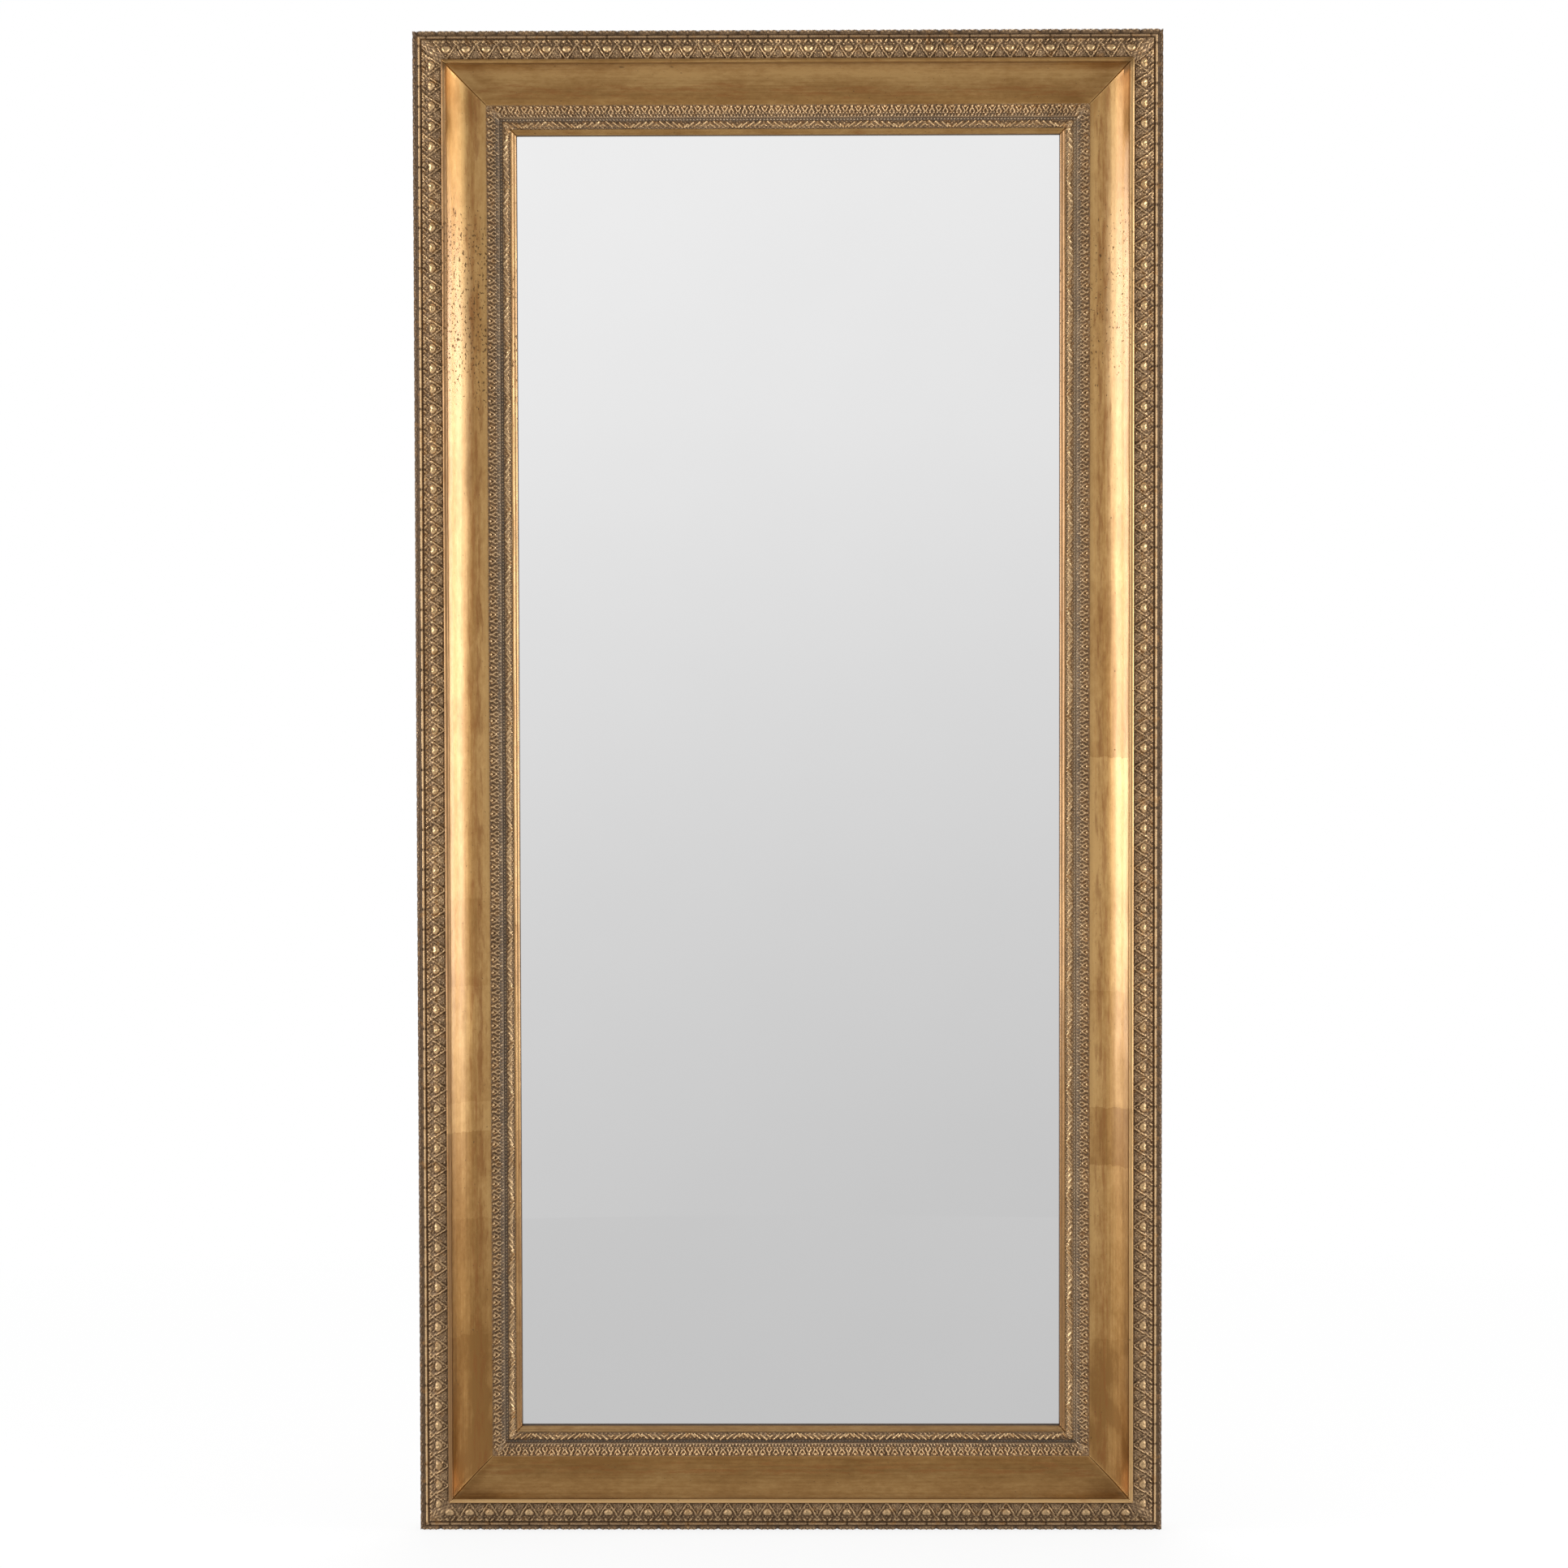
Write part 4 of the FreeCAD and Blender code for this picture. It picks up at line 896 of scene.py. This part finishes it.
def makeEdge(side):
    c, way = edgeCarving, edgeCarving[lengthKind(side)]
    bead, seat, half = edgeBand[1], woodLength["edgeSeat"], edgeCarving["pitch"] / 2
    stations = [
        ((0, c["sideHigh"]), 0, c["sideCut"], sideRun),
        ((c["rollWide"], c["rollHigh"]), c["rollRise"], c["across"], rollRun),
        ((c["rollWide"], c["barHigh"]), 0, 0, plainRun),
        ((bead - c["ledge"], c["barHigh"]), c["barRise"], c["barCut"], barRun),
        ((bead, c["barHigh"]), 0, c["barCut"], plainRun),
        ((bead, seat), 0, 0, plainRun),
        ((0, seat), 0, 0, plainRun),
    ]

    def carve(s, e, spots, kinds):
        onSide, onRoll, onBar = ((kinds == kind)[:, None] for kind in (sideRun, rollRun, barRun))
        walk = np.concatenate([[0], np.cumsum(np.hypot(*np.diff(spots, axis=0).T))])[:, None]
        v = walk - (c["sideHigh"] - seat)
        a = np.abs(fromMiddle(s - sides[side]["eggShift"], c["pitch"]))
        roll = carveRoll(a, v)
        nick = c["nick"] * ease(a, half - c["nickFrom"], half - c["nickFull"])
        top = np.where(onSide, -nick * ease(spots[:, 1:], seat, seat + c["nickRise"]), 0)
        top = np.where(onRoll, np.minimum(roll, c["rollMost"]) - nick * ease(v, *c["nickIn"]), top)
        bar = np.where(onBar, -c["barNick"] * ease(a, *c["barNickHalf"]), 0)
        middle = np.where(onBar, np.clip(1 - np.abs(spots[:, :1] - c["barAt"]) / c["barHalf"], 0, 1), 0)
        depth = np.where(onRoll, roll + c["rollTone"], c["plainTone"])
        depth = np.where(onBar, c["barTone"] + way["barPaintedLight"] * middle + bar, depth)
        return top + bar * middle, np.where(onSide, c["sideTone"], depth)

    return stripPiece("edge", side, c, edgeBand, stations, carve, way["toned"])


def carvedStations(piece, band, seat):
    wide, floor = piece.get("channelWide", 0.0), piece.get("channelHigh", piece["outerHigh"])
    outer, inner = band[0] + wide, band[1]
    channel = [
        ((outer, floor), 0, piece["channelCut"], channelRun),
        ((outer, piece["outerHigh"]), 0, piece["channelCut"], channelRun),
    ] if wide else []
    return [
        ((band[0], floor), 0, 0, plainRun),
        *channel,
        ((inner, piece["innerHigh"]), piece["rise"], piece["across"], carvedRun),
        ((inner, seat), 0, 0, plainRun),
        ((band[0], seat), 0, 0, plainRun),
    ]


def makeCarved(kind, side, piece, band, pattern, shift, toned, channelSideShade=0.0, patina=None):
    c, ground, fadeAt = stripCarving, piece["ground"], piece["cornerFade"]

    def carve(s, e, spots, kinds):
        v = spots[:, :1] - band[0]
        carved, channel = ((kinds == run)[:, None] for run in (carvedRun, channelRun))
        rough = softNoise(s.shape, int(np.ptp(s) / c["handCell"]), int(np.ptp(v) / c["handCell"]))
        high = pattern(s - shift, v) + c["handRough"] * rough
        mix = ease(e, fadeAt, fadeAt * c["cornerShare"])
        high = high * (1 - mix) + cornerLeaf(e, v) * mix
        rim = ease(v, 0.0, c["rim"]) * ease(band[1] - band[0] - v, 0.0, c["rim"])
        row = np.clip(np.cos((s - shift) * 2 * np.pi / c["rowGap"]), 0, None) ** c["rowRound"]
        row = row * np.clip(1 - ((v - c["rowAt"]) / c["rowHalf"]) ** 2, 0, None)
        top = np.where(channel, c["rowHigh"] * row, (ground + high) * carved * rim)
        depth = np.where(carved, ground + high, ground + c["rowFloor"] + channelSideShade + c["rowTone"] * row)
        return top, depth * (c["rimTone"] + (1 - c["rimTone"]) * rim)

    stations = carvedStations(piece, band, woodLength[kind + "Seat"])
    return stripPiece(kind, side, piece, band, stations, carve, toned, patina)


def makeBead(side):
    return makeCarved("bead", side, beadCarving, beadBand, carveBead, sides[side]["eggShift"],
                      beadCarving["toned"])


def makeBud(side):
    c, grey = budCarving, budCarving["grey"][lengthKind(side)]
    return makeCarved("bud", side, c, budBand, carveBud, sides[side]["budShift"], c["toned"][side],
                      patina=lambda v: grey * (c["greyPlain"] + ease(v, *c["greySpan"])))


def makeLeaf(side):
    c, bladeHigh = leafCarving, leafCarving["bladeHigh"][side]
    return makeCarved("leaf", side, c, leafBand, lambda s, v: carveLeaf(s, v, bladeHigh),
                      sides[side]["waveShift"], c["toned"][side], c["channelSideShade"][side],
                      lambda v: c["grey"] * ease(v, *c["greySpan"]) + c["greyPlain"])


for sideName in sides:
    makeEdge(sideName)
    makeBead(sideName)
    makeBud(sideName)
    makeLeaf(sideName)
print("ornament strips carved")


# Pane: silvered glass with the faintest haze
paneGlass = {
    "tint": (0.910, 0.909, 0.911), "hazed": 0.97, "rough": 0.012, "roughByDustAndShade": 0.03,
    "haze": (5.0, 5.0, 0.6), "hazeSpan": (0.45, 0.65),
    "dustAndShade": (900.0, 2.0, 0.5), "dustSpan": (0.62, 0.72),
}


def makePane():
    p = paneGlass
    material, tree, shader = newMaterial("silveredPane")
    where = wire(tree, "ShaderNodeTexCoord").outputs["Object"]
    haze, dustAndShade = noise(tree, where, *p["haze"]), noise(tree, where, *p["dustAndShade"])
    dustyAndShaded = sums(tree, "MULTIPLY", span(tree, dustAndShade, *p["dustSpan"]), span(tree, haze, *p["hazeSpan"]))
    plug(tree, shader, {
        "Base Color": blendColour(tree, haze, p["tint"], tuple(part * p["hazed"] for part in p["tint"])),
        "Roughness": sums(tree, "ADD", sums(tree, "MULTIPLY", dustyAndShaded, p["roughByDustAndShade"]), p["rough"]),
        "Metallic": 1.0,
    })
    return material


def finishNode(name, material):
    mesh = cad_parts[name].data
    if not mesh.materials:
        mesh.materials.append(material)
    for index in range(len(mesh.materials)):
        mesh.materials[index] = material


finishNode("mirror_glass", makePane())


# Plain fittings behind: zinc plated steel first
zincSteel = {
    "light": (0.60, 0.60, 0.585), "dark": (0.36, 0.36, 0.35), "stops": (0.25, 0.75),
    "spangle": 380.0, "cloud": (90.0, 5.0, 0.65), "rub": (600.0, 3.0, 0.6),
    "bySpangle": 0.35, "byCloud": 0.65,
    "rough": (0.3, 0.7, 0.28, 0.50), "bump": (0.12, 0.0003),
    "on": ("corner_brace", "turn_button", "hanger_", "button_screws", "brace_screws"),
}


def makeZinc():
    z = zincSteel
    material, tree, shader = newMaterial("zincPlatedSteel")
    where = wire(tree, "ShaderNodeTexCoord").outputs["Object"]
    spangle = wire(tree, "ShaderNodeTexVoronoi", {"Vector": where, "Scale": z["spangle"]})
    flake = wire(tree, "ShaderNodeSeparateColor", {0: spangle.outputs["Color"]}).outputs[0]
    cloud, rub = noise(tree, where, *z["cloud"]), noise(tree, where, *z["rub"])
    tone = weighed(tree, flake, z["bySpangle"], cloud, z["byCloud"])
    plug(tree, shader, {
        "Base Color": ramp(tree, tone, z["stops"], (z["dark"], z["light"])), "Metallic": 1.0,
        "Roughness": span(tree, cloud, *z["rough"]), "Normal": bump(tree, rub, *z["bump"]),
    })
    return material


# Rubber, felt, board and packers share one speckled finish
speckled = {
    "stops": (0.34, 0.66), "detail": (5.0, 0.68), "cloud": (14.0, 4.0, 0.6),
    "byGrain": 0.7, "byCloud": 0.3,
    "roughSpan": (0.3, 0.7), "roughBy": 0.06, "bumpStrength": 0.5,
    "finishes": {
        "mattRubber": {"dark": (0.018, 0.018, 0.018), "light": (0.045, 0.044, 0.042), "scale": 700.0,
                       "rough": 0.78, "bump": 0.0003,
                       "on": ("glass_setting_blocks", "wall_bumpers")},
        "pressedFelt": {"dark": (0.075, 0.055, 0.040), "light": (0.19, 0.145, 0.105), "scale": 1500.0,
                        "rough": 0.92, "bump": 0.0007, "on": ("floor_pads",)},
        "brownBoard": {"dark": (0.16, 0.095, 0.050), "light": (0.27, 0.175, 0.100), "scale": 520.0,
                       "rough": 0.66, "bump": 0.0004, "on": ("backing_board",)},
        "sawnPacker": {"dark": (0.33, 0.21, 0.11), "light": (0.56, 0.40, 0.24), "scale": 160.0,
                       "rough": 0.76, "bump": 0.0004, "drawn": (1, 6, 1),
                       "on": ("glass_edge_packers", "mitre_splines")},
    },
}


def makeSpeckled(name, finish):
    k = speckled
    material, tree, shader = newMaterial(name)
    where = wire(tree, "ShaderNodeTexCoord").outputs["Object"]
    stretch = finish.get("drawn", (1, 1, 1))
    drawn = wire(tree, "ShaderNodeMapping", {"Vector": where, "Scale": stretch}).outputs[0]
    speck = noise(tree, drawn, finish["scale"], *k["detail"])
    cloud = noise(tree, where, *k["cloud"])
    tone = weighed(tree, speck, k["byGrain"], cloud, k["byCloud"])
    rough = (finish["rough"] + k["roughBy"], finish["rough"] - k["roughBy"])
    plug(tree, shader, {
        "Base Color": ramp(tree, tone, k["stops"], (finish["dark"], finish["light"])),
        "Roughness": span(tree, speck, *k["roughSpan"], *rough),
        "Normal": bump(tree, speck, k["bumpStrength"], finish["bump"]),
    })
    return material


zincMat = makeZinc()
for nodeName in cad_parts:
    if nodeName.startswith(zincSteel["on"]):
        finishNode(nodeName, zincMat)
for finishName, finish in speckled["finishes"].items():
    fittingMat = makeSpeckled(finishName, finish)
    for nodeName in finish["on"]:
        finishNode(nodeName, fittingMat)
print("pane and fittings finished")


# Floor, world and lamps, in metres
studio = {
    "floorRadius": 3.0, "floorSides": 128, "floorShadow": 0.16, "shadowFrom": 0.5, "shadowTo": 0.2,
    "floorPaint": (0.42, 0.41, 0.40), "floorSeen": (0.86, 0.86, 0.86), "white": (1.0, 1.0, 1.0),
    "floorFar": (-3.0, -0.6, 0.643, 0.61), "floorNear": (-0.72, -0.1, 0.0, 0.30),
    "ambient": (0.58, 0.58, 0.58),
    # what shiny things see by height: the pale wall straight ahead of the pane, and the rest of the room
    "ahead": ((0.0, 0.62), (0.413, 0.613), (0.4395, 0.656), (0.466, 0.717), (0.493, 0.795), (0.520, 0.88),
              (0.547, 0.925), (0.60, 0.95)),
    "room": ((0.0, 0.60), (0.30, 0.50), (0.46, 0.48), (0.53, 0.42), (0.64, 0.40), (0.80, 0.46),
             (1.0, 0.66)),
    "aheadWide": (0.12, 0.09), "aheadTop": (0.135, 0.112), "aheadFoot": (-0.165, -0.145),
    "aheadFront": (0.0, -0.1),
    # a little lighter to the left, and light walls either side of where the photograph was taken
    "lean": -0.33, "leanMost": 0.04, "glowIn": (0.12, 0.22), "glowOut": (0.85, 0.45),
    "glowHigh": (0.36, 0.08), "glowFront": (0.0, -0.3, 0.0, 0.92),
    "panelX": 2.6, "panelZ": 1.30, "panelTall": 1.9,
    "panelStrips": ((-0.42, 1.10, 38.0), (-1.25, 0.56, 8.0), (-1.93, 0.80, 3.4)),
    "backPlace": (0, 2.8, 3.9), "backTowards": (0, -1, -1.0), "backSize": (2.4, 1.6), "backPower": 70.0,
}


def rays(tree):
    path = wire(tree, "ShaderNodeLightPath").outputs
    mirrored = sums(tree, "MAXIMUM", path["Is Glossy Ray"], path["Is Transmission Ray"])
    return path["Is Camera Ray"], mirrored


def makeFloor():
    radius, count = studio["floorRadius"], studio["floorSides"]
    turns = [2 * math.pi * k / count for k in range(count)]
    mesh = bpy.data.meshes.new("paleFloor")
    mesh.from_pydata([(radius * math.cos(turn), radius * math.sin(turn), 0.0) for turn in turns], [],
                     [list(range(count))])
    floor = bpy.data.objects.new("paleFloor", mesh)
    scene.collection.objects.link(floor)
    material = bpy.data.materials.new("paleFloorPaint")
    material.use_nodes = True
    tree = material.node_tree
    tree.nodes.clear()
    where = wire(tree, "ShaderNodeTexCoord").outputs["Object"]
    far = wire(tree, "ShaderNodeVectorMath", {0: where}, operation="LENGTH").outputs["Value"]
    depth = wire(tree, "ShaderNodeSeparateXYZ", {0: where}).outputs["Y"]
    seen, mirrored = rays(tree)
    paint = blendColour(tree, seen, studio["floorPaint"], studio["floorSeen"])
    diffuse = wire(tree, "ShaderNodeBsdfDiffuse", {"Color": paint})
    white = wire(tree, "ShaderNodeEmission", {"Color": (*studio["white"], 1)})
    near = sums(tree, "ADD", span(tree, depth, *studio["floorFar"]),
                span(tree, depth, *studio["floorNear"]))
    grey = wire(tree, "ShaderNodeEmission", {"Color": (*studio["white"], 1), "Strength": near})
    bright = span(tree, far, studio["shadowFrom"], radius - studio["shadowTo"],
                  1 - studio["floorShadow"], 1.0)
    plain = sums(tree, "MULTIPLY", seen, bright)
    first = wire(tree, "ShaderNodeMixShader", {0: plain, 1: diffuse.outputs[0], 2: white.outputs[0]})
    second = wire(tree, "ShaderNodeMixShader", {0: mirrored, 1: first.outputs[0], 2: grey.outputs[0]})
    wire(tree, "ShaderNodeOutputMaterial", {"Surface": second.outputs[0]})
    mesh.materials.append(material)


def makeWorld():
    world = bpy.data.worlds.new("paleStudio")
    scene.world = world
    world.use_nodes = True
    tree = world.node_tree
    tree.nodes.clear()
    where = wire(tree, "ShaderNodeTexCoord").outputs["Generated"]
    x, y, z = wire(tree, "ShaderNodeSeparateXYZ", {0: where}).outputs
    aside, level = sums(tree, "ABSOLUTE", x), sums(tree, "ABSOLUTE", z)
    slope = sums(tree, "MULTIPLY_ADD", z, 0.5, 0.5)
    inPane = product(tree, *(span(tree, axis, *studio[kind]) for axis, kind in (
        (aside, "aheadWide"), (z, "aheadTop"), (z, "aheadFoot"), (y, "aheadFront"))))
    room = blendColour(tree, inPane, greyRamp(tree, slope, studio["room"]),
                       greyRamp(tree, slope, studio["ahead"]))
    lean = sums(tree, "MAXIMUM", sums(tree, "MULTIPLY_ADD", x, studio["lean"], 0.0), -studio["leanMost"])
    lean = sums(tree, "MINIMUM", lean, studio["leanMost"])
    glow = product(tree, *(span(tree, axis, *studio[kind]) for axis, kind in (
        (aside, "glowIn"), (aside, "glowOut"), (level, "glowHigh"), (y, "glowFront"))))
    room = blendColour(tree, 1.0, room, sums(tree, "ADD", lean, glow), "ADD")
    seen, mirrored = rays(tree)
    colour = blendColour(tree, mirrored, studio["ambient"], room)
    colour = blendColour(tree, seen, colour, studio["white"])
    back = wire(tree, "ShaderNodeBackground", {"Color": colour})
    wire(tree, "ShaderNodeOutputWorld", {"Surface": back.outputs[0]})


def addPanel(name, place, towards, wide, tall, power):
    lamp = bpy.data.lights.new(name, "AREA")
    lamp.shape = "RECTANGLE"
    lamp.size = wide
    lamp.size_y = tall
    lamp.energy = power
    holder = bpy.data.objects.new(name, lamp)
    scene.collection.objects.link(holder)
    holder.location = place
    holder.rotation_euler = Vector(towards).to_track_quat("-Z", "Y").to_euler()


makeFloor()
makeWorld()
for lampName, sign in (("leftPanel", -1), ("rightPanel", 1)):
    for count, (depth, wide, power) in enumerate(studio["panelStrips"]):
        addPanel(f"{lampName}{count}", (sign * studio["panelX"], depth, studio["panelZ"]), (-sign, 0, 0),
                 wide, studio["panelTall"], power)
addPanel("backPanel", studio["backPlace"], studio["backTowards"], *studio["backSize"],
         studio["backPower"])

# Camera where the photograph was taken from
view = {"place": (0.0589, -6.0, 1.2563), "yaw": 0.629, "pitch": -2.440, "roll": 0.128,
        "lens": 103.18, "sensor": 36.0}
camera = bpy.data.cameras.new("frontCamera")
camera.lens = view["lens"]
camera.sensor_width = view["sensor"]
camera.sensor_fit = "AUTO"
camera.dof.use_dof = False
eye = bpy.data.objects.new("frontCamera", camera)
scene.collection.objects.link(eye)
turn = Matrix.Identity(3)
for angle, axis in (("yaw", "Z"), ("pitch", "X"), ("roll", "Y")):
    turn = turn @ Matrix.Rotation(math.radians(view[angle]), 3, axis)
right, ahead, up = turn.col
facing = Matrix((right, up, -ahead)).transposed()
eye.matrix_world = Matrix.LocRotScale(Vector(view["place"]), facing, None)
scene.camera = eye
scene.view_settings.view_transform = "Standard"
print("floor, lamps and camera placed")
